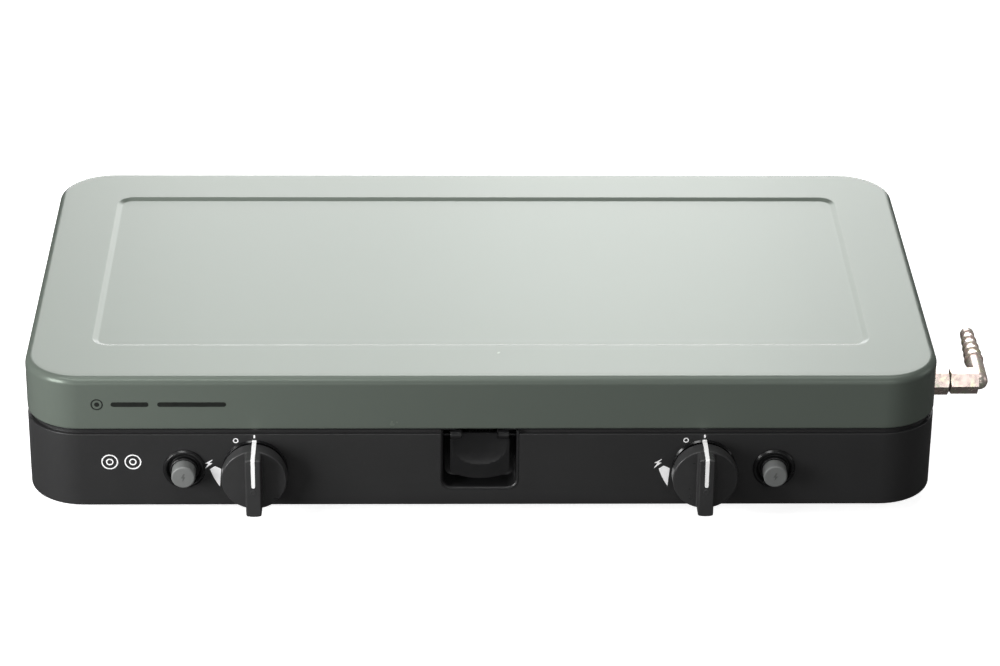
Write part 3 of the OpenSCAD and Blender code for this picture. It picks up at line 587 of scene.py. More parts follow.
def make_base():
    """The base's pressing. A narrow neck under the rim makes the dark line below the lid."""
    neck, shoulder = NECK_DEEP, rim_z - NECK_TALL
    land, rim_wide = 14, 6
    wall = rounded(
        [(land, base_z), (0, base_z), (0, shoulder), (neck, shoulder), (neck, rim_z)]
        + [(rim_wide, rim_z), (rim_wide, rim_z - SHEET), (neck + SHEET, rim_z - SHEET)]
        + [(neck + SHEET, shoulder - SHEET), (SHEET, shoulder - SHEET)]
        + [(SHEET, base_z + SHEET), (land, base_z + SHEET)],
        [BASE_EDGE_R, 0.4, 0.2, 0.3, 0.3, 0.3, 0.2, 0.2, 0.2, BASE_EDGE_R - SHEET],
        6,
    )
    bm = bmesh.new()
    loft(bm, [shell_ring(i, z) for i, z in wall], caps=(True, True))
    cuts = bmesh.new()
    lo, hi, _ = box_mm("latch_housing")
    outline = pocket_outline(lo.x, hi.x, lo.z, rim_z + 3, POCKET_R)
    pocket_cut = 12
    prism(cuts, [(x, front - 2, z) for x, z in outline], (0, pocket_cut, 0))
    vent_long, vent_wide, vent_pitch = 40, 3, 12
    for side in ("left", "right"):
        cap = box_mm(side + "_burner_cap")[2]
        for i in range(-3, 4):
            centre = (cap.x, base_mid.y + vent_pitch * i)
            vent = ring(centre, vent_long, vent_wide, 1.4, base_z - 1, 4)
            prism(cuts, vent, (0, 0, SHEET + 2))
    bm = carve(bm, cuts)
    piece("base_skin", bm, base_paint, "base", ["base_pan"])


def pocket_outline(x0, x1, z0, z1, r, steps=8):
    """Front view of the latch pocket: square above, round corners below."""
    points = [(x0, z1)]
    for cx, start in ((x0 + r, 180), (x1 - r, 270)):
        for i in range(steps + 1):
            a = math.radians(start + 90 * i / steps)
            points.append((cx + r * math.cos(a), z0 + r + r * math.sin(a)))
    points.append((x1, z1))
    return points


make_base()


# ---------- Hob ----------


def make_hob():
    """The hob pressing: a flange on the base's rim, a raised border and a sunk well."""
    t = HOB_SHEET
    flange, lip, land = 2, 4.2, 32
    top = rounded(
        [(flange, rim_z), (flange, rim_z + t), (lip, rim_z + t), (lip, hob_z), (WELL_INSET, hob_z)]
        + [(WELL_INSET, deck_z), (land, deck_z)],
        [0.3, 0.8, 2.0, 2.4, 3.0],
        6,
    )
    under = rounded(
        [(land, deck_z - t), (WELL_INSET - t, deck_z - t), (WELL_INSET - t, hob_z - t)]
        + [(lip + t, hob_z - t), (lip + t, rim_z), (flange, rim_z)],
        [3.0, 1.6, 1.2, 0.2],
        6,
    )
    bm = bmesh.new()
    loops = [shell_ring(i, z) for i, z in reversed(top)]
    loops += [shell_ring(i, z) for i, z in reversed(under)]
    loft(bm, loops, caps=(True, True))
    mid = box_mm("latch_paddle")[2]
    gap_half, gap_deep = 14, 15.6
    gap = bmesh.new()
    block(gap, (mid.x - gap_half, front - 2, rim_z - 3), (mid.x + gap_half, front + gap_deep, hob_z + 3))
    bm = carve(bm, gap)
    piece("hob_pressing", bm, hob_enamel, "base", ["hob_plate"])


make_hob()

# ---------- Burners ----------

PORTS = 24


def make_burner(side):
    """The burner's cast ring, with its flame ports, and the enamelled cap on it."""
    mid = box_mm(side + "_burner_body")[2]
    z = deck_z
    bore = 14.2
    profile = rounded(
        [(bore, z - 2), (18.2, z - 2), (18.2, z), (31, z), (31, z + 2), (24.5, z + 2), (23, z + 3)]
        + [(30, z + 7), (36, z + 8), (36, z + 13), (33, z + 13), (33, z + 10), (28, z + 9)]
        + [(20, z + 5), (bore, z + 3)],
        [0.3, 0.3, 0.8, 1.0, 0.6, 0.6, 1.5, 1.0, 0.5, 0.3, 0.8, 1.0, 1.0],
        4,
    )
    bm = bmesh.new()
    lathe(bm, profile, (mid.x, mid.y, 0), (0, 0, 1), 96, closed=True)
    cuts = bmesh.new()
    for k in range(PORTS):
        start = len(cuts.verts)
        block(cuts, (30, -0.9, z + 10.5), (40, 0.9, z + 16))
        cuts.verts.ensure_lookup_table()
        turn = Matrix.Rotation(2 * math.pi * k / PORTS, 4, "Z")
        for v in cuts.verts[start:]:
            v.co = turn @ v.co + Vector((mid.x, mid.y, 0))
    bm = carve(bm, cuts)
    piece(side + "_burner_ring", bm, cast_alloy, "base", [side + "_burner_body"])

    lo, hi, mid = box_mm(side + "_burner_cap")
    r, plug_r = (hi.x - lo.x) / 2, 32.7
    cap = rounded(
        [(0, lo.z), (plug_r, lo.z), (plug_r, lo.z + 3), (r, lo.z + 3), (r, lo.z + 4.2)]
        + [(31, lo.z + 5.7), (16, lo.z + 6), (14, lo.z + 5.4), (0, lo.z + 5.4)],
        [0.3, 0.3, 0.3, 0.6, 2.5, 1.2, 1.2],
        5,
    )
    bm = bmesh.new()
    lathe(bm, cap, (mid.x, mid.y, 0), (0, 0, 1), 96)
    piece(side + "_burner_lid", bm, hob_enamel, "base", [side + "_burner_cap"])


def make_pan_support(side):
    """A square wire ring on four pegs, with a bent finger welded to the middle of each side."""
    lo, hi, mid = box_mm(side + "_pan_support")
    wire, finger = 2.8, 2.5
    half = (hi.x - lo.x) / 2 - wire
    ring_r, ring_z = 34, deck_z + 5.2
    top = hi.z - finger
    bend, tip, peg_in = 7.0, 24, 10
    bm = bmesh.new()
    tube(bm, ring(mid, 2 * half, 2 * half, ring_r, ring_z, 16), wire, 18, closed=True)
    for k in range(4):
        turn = Matrix.Rotation(math.pi / 2 * k, 4, "Z")
        line = [(half, 0, ring_z + 0.5), (half, 0, ring_z + 4)]
        for i in range(9):
            a = math.radians(90 * i / 8)
            line.append((half - bend + bend * math.cos(a), 0, top - bend + bend * math.sin(a)))
        line += [(half - 25, 0, top), (tip + finger, 0, top)]
        tube(bm, [turn @ Vector(p) + Vector((mid.x, mid.y, 0)) for p in line], finger, 16)
        at = turn @ Vector((half, 0, ring_z + 1.4)) + Vector((mid.x, mid.y, 0))
        wide, deep = (2.9, 4.3) if k % 2 == 0 else (4.3, 2.9)
        blob(bm, at, (wide, deep, 2.4))
    for sx in (-1, 1):
        for sy in (-1, 1):
            at = (mid.x + sx * (half - peg_in), mid.y + sy * (half - peg_in))
            peg = rounded(
                [(0, lo.z), (2.1, lo.z), (2.1, deck_z + 0.1), (4, deck_z + 0.1), (4, ring_z)]
                + [(0, ring_z + 1)],
                [0.8, 0.1, 0.8, 1.5],
                4,
            )
            lathe(bm, peg, (*at, 0), (0, 0, 1), 28)
    name = side + "_pan_support"
    piece(side + "_wire_grid", bm, hob_enamel, side + "_grid", [name], weighted=False)


for side in ("left", "right"):
    make_burner(side)
    make_pan_support(side)

# ---------- Latch ----------


def make_latch_pocket():
    """A moulding with a soft lip at the base's front, walls that run back and a floor behind the paddle."""
    lo, hi, _ = box_mm("latch_housing")
    lip, steps, gap, proud = 1.7, 7, 0.15, 0.12
    loops = []
    # Each point of the section is (distance in from the outline, distance behind the base's front).
    section = [(gap, -proud)]
    for i in range(steps + 1):
        a = math.radians(90 * i / steps)
        section.append((gap + lip * math.sin(a) * 0.9, -proud + lip * (1 - math.cos(a))))
    inner = gap + lip * 0.9
    floor = hi.y - lo.y - POCKET_WALL
    section += [(inner, floor - 2.5), (inner + 0.8, floor - 0.7), (inner + 2.6, floor)]
    top = rim_z + 0.2
    for inset, depth in section:
        outline = pocket_outline(
            lo.x + inset, hi.x - inset, lo.z + inset, top, max(POCKET_R - inset * 0.5, 1.5)
        )
        loops.append([Vector((x, front + depth, z)) for x, z in outline])
    outer = pocket_outline(lo.x + 0.05, hi.x - 0.05, lo.z + 0.05, top, POCKET_R)
    backs = [Vector((x, hi.y, z)) for x, z in outer]
    fronts = [Vector((x, front + 0.1, z)) for x, z in outer]
    bm = bmesh.new()
    rows = [[bm.verts.new(p) for p in loop] for loop in loops + [backs, fronts]]
    n = len(rows[0])
    last = len(loops) - 1
    for r in range(last):
        for i in range(n - 1):
            bm.faces.new((rows[r][i], rows[r][i + 1], rows[r + 1][i + 1], rows[r + 1][i]))
    for i in range(n - 1):
        bm.faces.new((rows[-2][i], rows[-2][i + 1], rows[-1][i + 1], rows[-1][i]))
        bm.faces.new((rows[-1][i], rows[-1][i + 1], rows[0][i + 1], rows[0][i]))
    bm.faces.new(rows[last])
    bm.faces.new(rows[-2][::-1])
    # The top edges of the two side walls, then of the back wall
    for end in (0, n - 1):
        column = [rows[r][end] for r in range(last + 1)] + [rows[-2][end], rows[-1][end]]
        bm.faces.new(column if end == 0 else column[::-1])
    bm.faces.new((rows[last][0], rows[last][n - 1], rows[-2][n - 1], rows[-2][0]))
    piece("latch_pocket", bm, latch_plastic, "base", ["latch_housing"], weighted=False)


def make_latch_paddle():
    """The paddle with its scooped face and two ears on the pin, and the hook behind it."""
    lo, hi, _ = box_mm("latch_paddle")
    mid = box_mm("latch_housing")[2]
    pin = box_mm("latch_pin")[2]
    half = (hi.x - lo.x) / 2
    drop = pin.z - lo.z
    face, plate, ear, ear_r = pin.y - 4.8, 2.8, 7.0, 3.4
    corner, bottom, sag, cover_top = 4.0, 1.4 - drop, 2.3, 2.4
    right_side = []
    for i in range(9):
        t = i / 8
        right_side.append(((half - corner) * t, bottom + sag * t * t))
    for i in range(1, 6):
        a = math.radians(-72 + 72 * i / 5)
        right_side.append((half - corner + corner * math.cos(a), bottom + sag + corner * (1 + math.sin(a))))
    right_side += [(half, -1.0), (half - ear, -1.0), (half - ear, cover_top)]
    outline = [(-x, z) for x, z in reversed(right_side)] + right_side[1:]
    bm = bmesh.new()
    prism(bm, [(mid.x + x, face, pin.z + z) for x, z in outline], (0, plate, 0))
    scoop = bmesh.new()
    blob(scoop, (mid.x, face - 2.2, pin.z - 4.6), (19.6, 4.1, 16.2), 28, 56)
    bm = carve(bm, scoop)
    spring_r = 2.75
    room = [(0, ear - half), (spring_r, ear - half), (spring_r, half - ear), (0, half - ear)]
    spring_room = bmesh.new()
    lathe(spring_room, room, (mid.x, pin.y, pin.z), (1, 0, 0), 40)
    bm = carve(bm, spring_room)
    soften(bm, 0.55, 3, 28)
    for x in (-half, half - ear):
        barrel = rounded([(0, x), (ear_r, x), (ear_r, x + ear), (0, x + ear)], [0.7, 0.7], 4)
        lathe(bm, barrel, (mid.x, pin.y, pin.z), (1, 0, 0), 32)
    # A bar behind the paddle, a stem up from it and a nose that holds the lid's catch
    hook_half, hook_back, nose_z = 8, pin.y + 4.7, hi.z - 2.5
    for y, low, high, edge_r in (
        (pin.y - 0.5, pin.z - 9.5, pin.z - 5.5, 0.4),
        (pin.y + 2.7, pin.z - 9, hi.z, 0.4),
        (pin.y - 1, nose_z, hi.z, 0.5),
    ):
        part = bmesh.new()
        block(part, (mid.x - hook_half, y, low), (mid.x + hook_half, hook_back, high))
        soften(part, edge_r, 2)
        merge(bm, part)
    piece("latch_lever", bm, latch_plastic, "latch", ["latch_paddle"])


make_latch_pocket()
make_latch_paddle()

# ---------- Knobs ----------


def strip(bm, path, widths, across, lift):
    """A thin raised strip along a path, with a width and a thickness vector for each point."""
    loops = []
    for p, w, up in zip(path, widths, lift):
        p, up = Vector(p), Vector(up)
        side = Vector(across) * (w / 2)
        loops.append([p - side, p - side * 0.96 + up, p + side * 0.96 + up, p + side])
    loft(bm, loops, caps=(True, True))


def make_knob(side):
    """A disc with a shadow groove behind, a grip across it, a white pointer and a small moulded ring."""
    lo, hi, mid = box_mm(side + "_knob")
    back, nose = hi.y, lo.y
    r = (hi.x - lo.x) / 2
    stand_off = 14.5
    skirt = front - stand_off
    ahead = (0, -1, 0)
    bm = bmesh.new()
    # The disc's rim starts behind with a shadow groove and a lip.
    disc = rounded(
        [(r - 4, 2.2), (r - 2.6, 0), (r - GROOVE_DEEP, 0), (r - GROOVE_DEEP, GROOVE_LONG)]
        + [(r, GROOVE_LONG + 0.5), (r - 0.2, back - skirt), (8, back - skirt), (0, back - skirt)],
        [0.3, 0.3, 0.2, 0.3, 0.75, 0.3],
        5,
    )
    lathe(bm, disc, (mid.x, back, mid.z), ahead, 96)
    hollow = rounded([(0, 1.6), (r - 3.4, 1.6), (r - 3.4, 3)], [0.2])
    lathe(bm, hollow, (mid.x, back, mid.z), ahead, 48)
    grip_w = 9.2
    grip_r = r - 0.3
    limit = math.asin(grip_w / 2 / grip_r)
    outline = []
    for start in (90, 270):
        for i in range(9):
            a = math.radians(start) - limit * (1 - 2 * i / 8)
            outline.append((grip_r * math.cos(a), grip_r * math.sin(a)))
    grip = bmesh.new()
    prism(grip, [(mid.x + x, back - 0.7, mid.z + z) for x, z in outline], (0, nose - back + 0.7, 0))
    # The grip narrows a little towards its front.
    for v in grip.verts:
        if v.co.y < back - 5:
            v.co.x = mid.x + (v.co.x - mid.x) * 0.98
    soften(grip, 0.9, 4, 40)
    merge(bm, grip)
    # Fillets where the grip meets the disc
    for s in (-1, 1):
        x = mid.x + s * (grip_w / 2 - 0.1)
        line = [
            (x - s * 0.4, skirt + 0.5, mid.z - r + 1.6),
            (x + s * 1.1, skirt + 0.5, mid.z - r + 1.6),
            (x + s * 0.35, skirt - 0.35, mid.z - r + 1.6),
            (x - s * 0.4, skirt - 1.2, mid.z - r + 1.6),
        ]
        prism(bm, line, (0, 0, 2 * (r - 1.6)))
    piece(side + "_knob_moulding", bm, black_plastic, side + "_knob_set", [side + "_knob"])

    # White pointer over the top of the grip and down its front
    top = mid.z + grip_r
    bm = bmesh.new()
    over = 0.14
    corner = 0.9
    path, widths, lift = [], [], []
    rim = mid.z + r
    deep = GROOVE_DEEP
    for y, z, w, thick in (
        (back - 0.1, rim - deep, 2.6, deep + 0.05),
        (back - GROOVE_LONG, rim - deep, 2.6, deep + 0.08),
        (back - GROOVE_LONG - 0.6, rim - 0.05, 2.6, over),
        (skirt + 0.9, rim - 0.2, 2.5, over),
        (skirt - 0.6, top - 0.02, 2.4, over),
        (nose + corner, top - 0.02, 2.3, over),
    ):
        path.append((mid.x, y, z))
        widths.append(w)
        lift.append((0, 0, thick))
    for i in range(1, 6):
        a = math.radians(90 * i / 5)
        path.append((mid.x, nose + corner - corner * math.sin(a), top - corner + corner * math.cos(a)))
        widths.append(2.3)
        lift.append((0, -over * math.sin(a), over * math.cos(a)))
    for z, w in ((mid.z + 8, 2.25), (mid.z + 2.0, 2.15), (mid.z + 1.2, 2.0), (mid.z + 0.7, 1.4)):
        path.append((mid.x, nose + 0.02, z))
        widths.append(w)
        lift.append((0, -over, 0))
    strip(bm, path, widths, (1, 0, 0), lift)
    piece(side + "_pointer", bm, white_inlay_painted_glow, side + "_knob_set")
    bm = bmesh.new()
    seat = rounded([(0, 0.05), (1.0, 0.05), (1.35, 0.16), (1.7, 0.05), (1.7, -0.2)], [0.1, 0.1, 0.1], 3)
    lathe(bm, seat, (mid.x, nose, mid.z - 2.4), ahead, 24)
    piece(side + "_knob_seat", bm, black_plastic, side + "_knob_set")


def make_knob_rings():
    """The glossy rings on the base behind the knobs, each with a white index on top."""
    rings = bmesh.new()
    marks = bmesh.new()
    lo, hi, _ = box_mm("knob_bezels")
    r = (hi.z - lo.z) / 2
    thick = hi.y - lo.y
    index_half = 1.3
    for side in ("left", "right"):
        mid = box_mm(side + "_knob")[2]
        section = rounded(
            [(12, 0), (r, 0), (r, 0.2), (r - 0.9, thick), (r - 2.0, thick), (r - 2.8, thick - 0.5)]
            + [(12, thick - 0.5)],
            [0.1, 0.12, 0.12, 0.4, 0.3],
            3,
        )
        lathe(rings, section, (mid.x, front, mid.z), (0, -1, 0), 96)
        index = bmesh.new()
        low = (mid.x - index_half, front - thick - 0.1, mid.z + r - 1.6)
        high = (mid.x + index_half, front - 0.02, mid.z + r + 0.12)
        block(index, low, high)
        soften(index, 0.3, 3)
        merge(marks, index)
    piece("knob_rings", rings, gloss_plastic, "base", ["knob_bezels"])
    piece("knob_ring_marks", marks, white_inlay_painted_glow, "base")


# The spark sign on an igniter button, as (across, up) from the button's middle
BOLT = ((0.15, 2.6), (-1.35, -0.25), (-0.2, -0.25), (-0.55, -2.6), (1.35, 0.45), (0.2, 0.45), (1.0, 2.6))


def make_igniter(side):
    """The igniter's bezel, sleeve and barrel, and its button with a spark sign."""
    mid = box_mm(side + "_igniter_body")[2]
    bm = bmesh.new()
    # Distances here run forwards from the base's front face.
    bezel = rounded(
        [(9.3, -6), (9.3, 0.7), (9.9, 1.5), (10.6, 2.0), (11.5, 1.95), (12.5, 0.8), (12.5, 0.0)]
        + [(12.0, -0.1)],
        [0.3, 0.5, 0.5, 0.6, 0.3, 0.1],
        4,
    )
    lathe(bm, bezel, (mid.x, front, mid.z), (0, -1, 0), 80)
    sleeve = rounded(
        [(9.3, -6), (7.15, -6), (7.15, 3.2), (8.2, 3.2), (8.2, 0.2), (9.35, 0)], [0.1, 0.3, 0.5, 0.3], 4
    )
    lathe(bm, sleeve, (mid.x, front, mid.z), (0, -1, 0), 64)
    barrel = rounded([(8.9, -5.8), (8.9, -34), (2.5, -34), (2.5, -38), (0, -38)], [0.8, 0.2, 0.4], 3)
    lathe(bm, barrel, (mid.x, front, mid.z), (0, -1, 0), 40)
    piece(side + "_igniter_bezel", bm, satin_plastic, "base", [side + "_igniter_body"])

    lo, hi, mid = box_mm(side + "_igniter_button")
    r = (hi.x - lo.x) / 2
    long = hi.y - lo.y
    bm = bmesh.new()
    cap = rounded([(0, 0), (r, 0), (r, long), (0, long + 0.001)], [0.3, 1.1], 6)
    lathe(bm, cap, (mid.x, hi.y, mid.z), (0, -1, 0), 64)
    body = side + "_button"
    piece(side + "_button_cap", bm, grey_plastic, body, [side + "_igniter_button"])
    bm = bmesh.new()
    prism(bm, [(mid.x + x, lo.y + 0.1, mid.z + z) for x, z in BOLT], (0, -0.19, 0))
    soften(bm, 0.05, 2)
    piece(side + "_button_mark", bm, bolt_plastic, body)


for side in ("left", "right"):
    make_knob(side)
    make_igniter(side)
make_knob_rings()

# ---------- Printed marks ----------

INK = 0.035


def flat_print(name, outlines, y, finish, body):
    """Thin ink on the front of the base or lid. Each outline is a list of (x, z)."""
    bm = bmesh.new()
    for outline in outlines:
        prism(bm, [(x, y, z) for x, z in outline], (0, -INK, 0))
    piece(name, bm, finish, body, weighted=False)


def ring_print(x, z, r, width, steps=40):
    """A ring as a run of short four-sided patches."""
    out = []
    for i in range(steps):
        a, b = 2 * math.pi * i / steps, 2 * math.pi * (i + 1) / steps
        out.append(
            [
                (x + (r - width) * math.cos(a), z + (r - width) * math.sin(a)),
                (x + r * math.cos(a), z + r * math.sin(a)),
                (x + r * math.cos(b), z + r * math.sin(b)),
                (x + (r - width) * math.cos(b), z + (r - width) * math.sin(b)),
            ]
        )
    return out


def bar_print(x0, x1, z, width):
    """A bar with round ends."""
    r = width / 2
    points = []
    for cx, start in ((x1 - r, -90), (x0 + r, 90)):
        for i in range(9):
            a = math.radians(start + 180 * i / 8)
            points.append((cx + r * math.cos(a), z + r * math.sin(a)))
    return [points]


def knob_marks(side):
    """The flame wedge, spark, ring and tick printed round a knob."""
    mid = box_mm(side + "_knob")[2]
    # Flame-height wedge: wide at full flame and a point at low flame, with its outer edge bowed
    tip, inner, top, outer = (-20.9, -12.1), (-19.9, -0.2), (-23.4, 1.6), (-26.4, -0.4)
    bow = 0.5
    wedge = [inner, top, outer]
    for i in range(1, 6):
        t = i / 6
        x = outer[0] + (tip[0] - outer[0]) * t - bow * math.sin(math.pi * t)
        wedge.append((x, outer[1] + (tip[1] - outer[1]) * t))
    wedge.append(tip)
    spark = [(1.6, 3.1), (-2.3, 0.75), (-0.5, 0.5), (-2.6, -2.9), (2.0, 0.9), (0.1, 1.1), (2.2, 3.1)]
    shapes = [[(mid.x + x, mid.z + z) for x, z in wedge]]
    shapes.append([(mid.x - 26.8 + x, mid.z + 2.7 + z) for x, z in spark])
    shapes += ring_print(mid.x - 10.9, mid.z + 18.6, 1.6, 0.6, 28)
    tick = ((-0.5, 20.2), (0.5, 20.2), (0.5, 22.3), (-0.5, 22.3))
    shapes.append([(mid.x + x, mid.z + z) for x, z in tick])
    flat_print(side + "_knob_scale", shapes, front - 0.01, white_ink_painted_glow, "base")


for side in ("left", "right"):
    knob_marks(side)



def lid_signs():
    """A ring sign and two plain bars on the lid, in place of lettering."""
    x, z, bar = base_mid.x - 224, seam_z + 16.2, 3.0
    marks = ring_print(x, z, 3.6, 0.8, 44) + ring_print(x, z, 1.5, 1.5, 20)
    marks += bar_print(x + 8, x + 30, z, bar) + bar_print(x + 35, x + 75, z, bar)
    flat_print("lid_print", marks, front - 0.01, black_ink, "lid")


def base_signs():
    """A double ring for each burner on the base, in place of lettering."""
    marks = []
    for i in (0, 1):
        at = (base_mid.x - 218 + 13.5 * i, base_z + 29.3)
        marks += ring_print(*at, 4.9, 0.75, 48) + ring_print(*at, 2.2, 0.75, 30)
    flat_print("base_print", marks, front - 0.01, white_ink_painted_glow, "base")


lid_signs()
base_signs()

# ---------- Feet, hinges and hose inlet ----------


def corner_middles(node):
    """Middle of each part of a CAD node that has one part per quadrant."""
    mid = box_mm(node)[2]
    found = {}
    for v in frame["nodes"][node].data.vertices:
        p = v.co / MM
        key = (p.x > mid.x, p.y > mid.y)
        a, b = found.get(key, (p.copy(), p.copy()))
        found[key] = (Vector(map(min, a, p)), Vector(map(max, b, p)))
    return [(a + b) / 2 for a, b in found.values()]


def make_feet():
    """Four rubber feet, each with a screw hole and a recess for the screw's head."""
    bm = bmesh.new()
    for mid in corner_middles("rubber_feet"):
        foot = rounded(
            [(2.4, base_z), (14, base_z), (12.5, 1.4), (11.6, 0), (5, 0), (5, 6), (2.4, 6)],
            [0.6, 0.8, 0.6, 0.6, 0.4],
            4,
        )
        lathe(bm, foot, (mid.x, mid.y, 0), (0, 0, 1), 56, closed=True)
    piece("foot_mouldings", bm, black_rubber, "base", ["rubber_feet"])


make_feet()


def hexagon(y, z, across):
    """Corners of a hexagon with flats up and down, in the plane across X."""
    r = across / math.sqrt(3)
    turns = [math.radians(60 * i) for i in range(6)]
    return [(y + r * math.cos(a), z + r * math.sin(a)) for a in turns]


def hex_bar(y, z, across, x0, x1, chamfers):
    """A hexagonal bar along X, turned off at the ends that have a chamfer."""
    long = x1 - x0
    bm = bmesh.new()
    prism(bm, [(x0, py, pz) for py, pz in hexagon(y, z, across)], (long, 0, 0))
    r, end_r = across / math.sqrt(3), across / 2 * 0.97
    drop = (r - end_r) * math.tan(math.radians(30))
    first = [(end_r, 0), (r, drop)] if chamfers[0] else [(r + 1, 0)]
    last = [(r, long - drop), (end_r, long)] if chamfers[1] else [(r + 1, long)]
    turned = bmesh.new()
    lathe(turned, [(0, 0)] + first + last + [(0, long)], (x0, y, z), (1, 0, 0), 72)
    bm = carve(bm, turned, "INTERSECT")
    soften(bm, 0.16, 2, 20)
    return bm


def make_inlet():
    """The fixed gas inlet: a hexagon outside the base, a barrel inside it and a spigot for the elbow."""
    lo, hi, mid = box_mm("inlet_connector")
    y, z = mid.y, mid.z
    side = base_hi.x
    hex_end = box_mm("inlet_seal")[0].x
    bm = hex_bar(y, z, 15, side + 0.02, hex_end, (False, True))
    barrel_r, neck_r, shoulder = 7.2, 6.5, side - 9
    inner = rounded(
        [(5.03, lo.x), (barrel_r, lo.x), (barrel_r, shoulder), (neck_r, shoulder), (neck_r, side + 0.5)],
        [0.4, 0.4, 0.1],
    )
    lathe(bm, inner, (0, y, z), (1, 0, 0), 48)
    spigot = rounded([(0, hex_end - 1), (4, hex_end - 1), (4, hi.x), (2, hi.x)], [0.1, 0.4])
    lathe(bm, spigot, (0, y, z), (1, 0, 0), 40)
    piece("inlet_fitting", bm, yellow_zinc, "base", ["inlet_connector"])


def make_hose_tail():
    """The elbow: a hexagon along the inlet and a barbed tail that points back and a little up."""
    lo, hi, _ = box_mm("hose_elbow")
    mid = box_mm("inlet_connector")[2]
    y, z = mid.y, mid.z
    lean = math.radians(4)
    tail_len, tail_r, bore, bore_long = 58.0, 5.4, 2.2, 12
    crests, pitch, first_r, growth, first_at = 5, 7.4, 4.55, 0.38, 4.8
    axis_x = hi.x - first_r - growth * (crests - 1)
    bm = hex_bar(y, z, 14, lo.x, axis_x - 1.2, (True, False))
    heel = [math.radians(15 * i) for i in range(7)]
    tail = [(tail_r * math.sin(a), -tail_r * math.cos(a)) for a in heel]
    neck = tail_len - first_at - pitch * (crests - 1) - 1.6
    tail.append((tail_r, neck - 1.5))
    for i in range(crests - 1, -1, -1):
        at, r = tail_len - first_at - pitch * i, first_r + growth * i
        tail += [(r - 0.85, at - 1.5), (r - 0.7, at - 0.55), (r - 0.1, at - 0.25)]
        tail += [(r, at + 0.25), (r - 0.35, at + 2.2)]
    tail += [(first_r - 0.15, tail_len - 1.8), (first_r - 0.7, tail_len - 0.5), (first_r - 1.4, tail_len)]
    tail += [(bore + 0.1, tail_len), (bore, tail_len - 0.4), (bore, tail_len - bore_long)]
    tail.append((0, tail_len - bore_long))
    lathe(bm, tail, (axis_x, y, z), (0, math.cos(lean), math.sin(lean)), 56)
    piece("hose_tail", bm, yellow_zinc, "elbow", ["hose_elbow"], smooth=42, weighted=False)


make_inlet()
make_hose_tail()

# ---------- Floor, light and camera ----------


def floor_plane(name, z, finish):
    """A large level sheet. It is part of the stage, not of the stove."""
    half = 9000
    corners = [Vector((half * x, half * y, z)) for x, y in ((-1, -1), (1, -1), (1, 1), (-1, 1))]
    bm = bmesh.new()
    loft(bm, [corners], caps=(False, True))
    plane = bpy.data.objects.new(name, to_mesh(name, bm))
    plane.data.materials.append(finish)
    scene.collection.objects.link(plane)
    return plane


def studio_paper(name, grey, glow=0.0):
    """Matt paper with a faint mottle."""
    n = Nodes(name, Specular_IOR_Level=0.1, Emission_Color=(1, 1, 1, 1), Emission_Strength=glow)
    colour = n.ramp(n.noise(3, 2), ((0.3, (grey * 0.99,) * 3), (0.7, (grey,) * 3)))
    return n.done(colour, n.span(n.noise(50, 2), 0.8, 0.95))


# The camera sees the white paper. Mirrored and scattered light meets the grey paper under it instead.
paper = floor_plane("floor_paper", 0.0, studio_paper("white_paper", 0.88, 0.85))
paper.visible_diffuse = False
paper.visible_glossy = False
under = floor_plane("floor_under", -1.0, studio_paper("grey_paper", 0.46))
under.visible_camera = False


def lamp(name, at, target, wide, high, radiance):
    """A soft rectangular light, as bright as its radiance whatever its size."""
    data = bpy.data.lights.new(name, "AREA")
    data.shape = "RECTANGLE"
    data.size, data.size_y = wide, high
    data.energy = radiance * math.pi * wide * high
    obj = bpy.data.objects.new(name, data)
    obj.location = at
    obj.rotation_mode = "QUATERNION"
    obj.rotation_quaternion = (Vector(target) - Vector(at)).to_track_quat("-Z", "Y")
    obj.visible_camera = False
    scene.collection.objects.link(obj)


lamp("overhead", (0.1, 0.25, 1.9), (0, 0.02, 0), 1.8, 1.3, 1.8)
lamp("top_strip", (-0.6, -0.75, 1.8), (-0.1, -0.15, 0), 1.5, 0.36, 6.2)
lamp("front_right", (0.55, -1.38, 0.87), (0.29, -0.04, 0.036), 0.5, 0.4, 2.4)
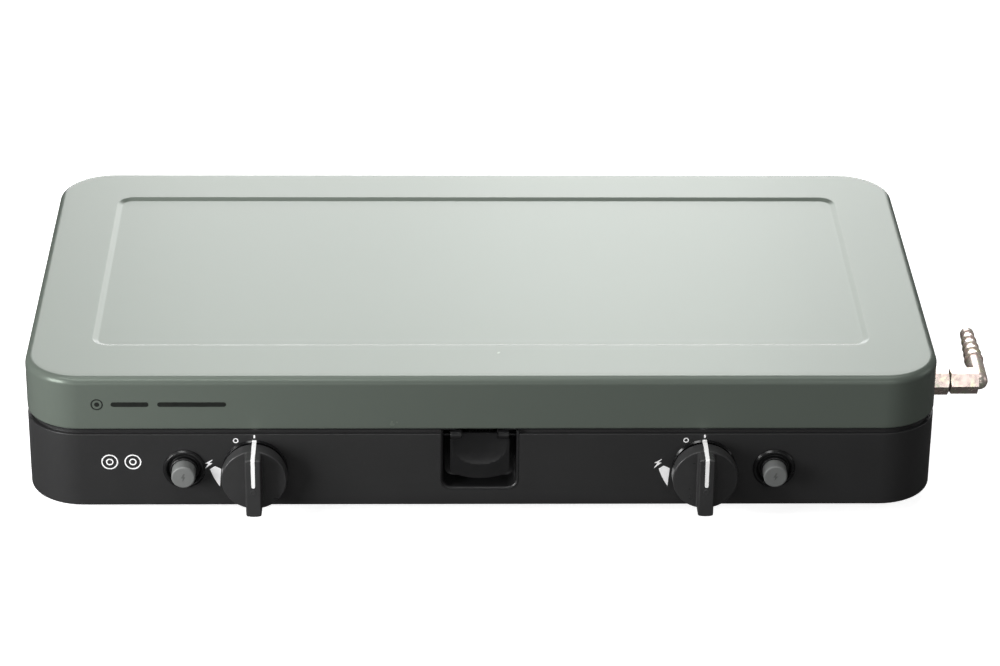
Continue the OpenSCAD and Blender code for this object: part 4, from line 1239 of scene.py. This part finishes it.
# The paper sheet behind the stove, which the lid's top mirrors, is brightest right of the middle.
for k, radiance in enumerate((0.6, 3.1, 4.7, 5.7, 4.3)):
    x = -1.25 + 0.5 * k
    lamp("back_sheet_%d" % k, (x, 2.6, 1.45), (x, 0, 0.1), 0.5, 1.3, radiance)
lamp("back_low", (0.1, 2.8, 0.5), (0, 0, 0.1), 2.4, 0.5, 5.7)
lamp("left_key", (-0.86, -0.62, 0.3), (-0.25, -0.1, 0.05), 0.45, 0.5, 12.8)
lamp("front_low", (0, -1.6, 0.2), (0, 0, 0.05), 2.4, 0.3, 1.2)
lamp("right_side", (1.8, 0.1, 0.6), (0, 0, 0.05), 0.9, 0.9, 0.9)

# The background is white to the camera and a dim grey to everything else.
world = bpy.data.worlds.new("studio")
scene.world = world
world.use_nodes = True
sky = world.node_tree.nodes["Background"]
path = world.node_tree.nodes.new("ShaderNodeLightPath")
level = world.node_tree.nodes.new("ShaderNodeMapRange")
level.inputs["To Min"].default_value = 0.06
level.inputs["To Max"].default_value = 1.0
world.node_tree.links.new(path.outputs["Is Camera Ray"], level.inputs["Value"])
world.node_tree.links.new(level.outputs["Result"], sky.inputs["Strength"])
sky.inputs["Color"].default_value = (1, 1, 1, 1)
scene.view_settings.view_transform = "Standard"

camera_data = bpy.data.cameras.new("camera")
camera_data.lens = 123.79
camera_data.sensor_width = 36
camera = bpy.data.objects.new("camera", camera_data)
pitch, yaw, roll = math.radians(26.976), math.radians(-1.4635), math.radians(0.6438)
swing = Matrix.Rotation(yaw, 3, "Z")
ahead = swing @ Vector((0, math.cos(pitch), -math.sin(pitch)))
up = swing @ Vector((0, math.sin(pitch), math.cos(pitch)))
right = swing @ Vector((1, 0, 0))
right, up = right * math.cos(roll) + up * math.sin(roll), up * math.cos(roll) - right * math.sin(roll)
camera.matrix_world = Matrix((right, up, -ahead)).transposed().to_4x4()
camera.location = Vector((-58.5, -1897.9, 1020.2)) * MM
scene.collection.objects.link(camera)
scene.camera = camera
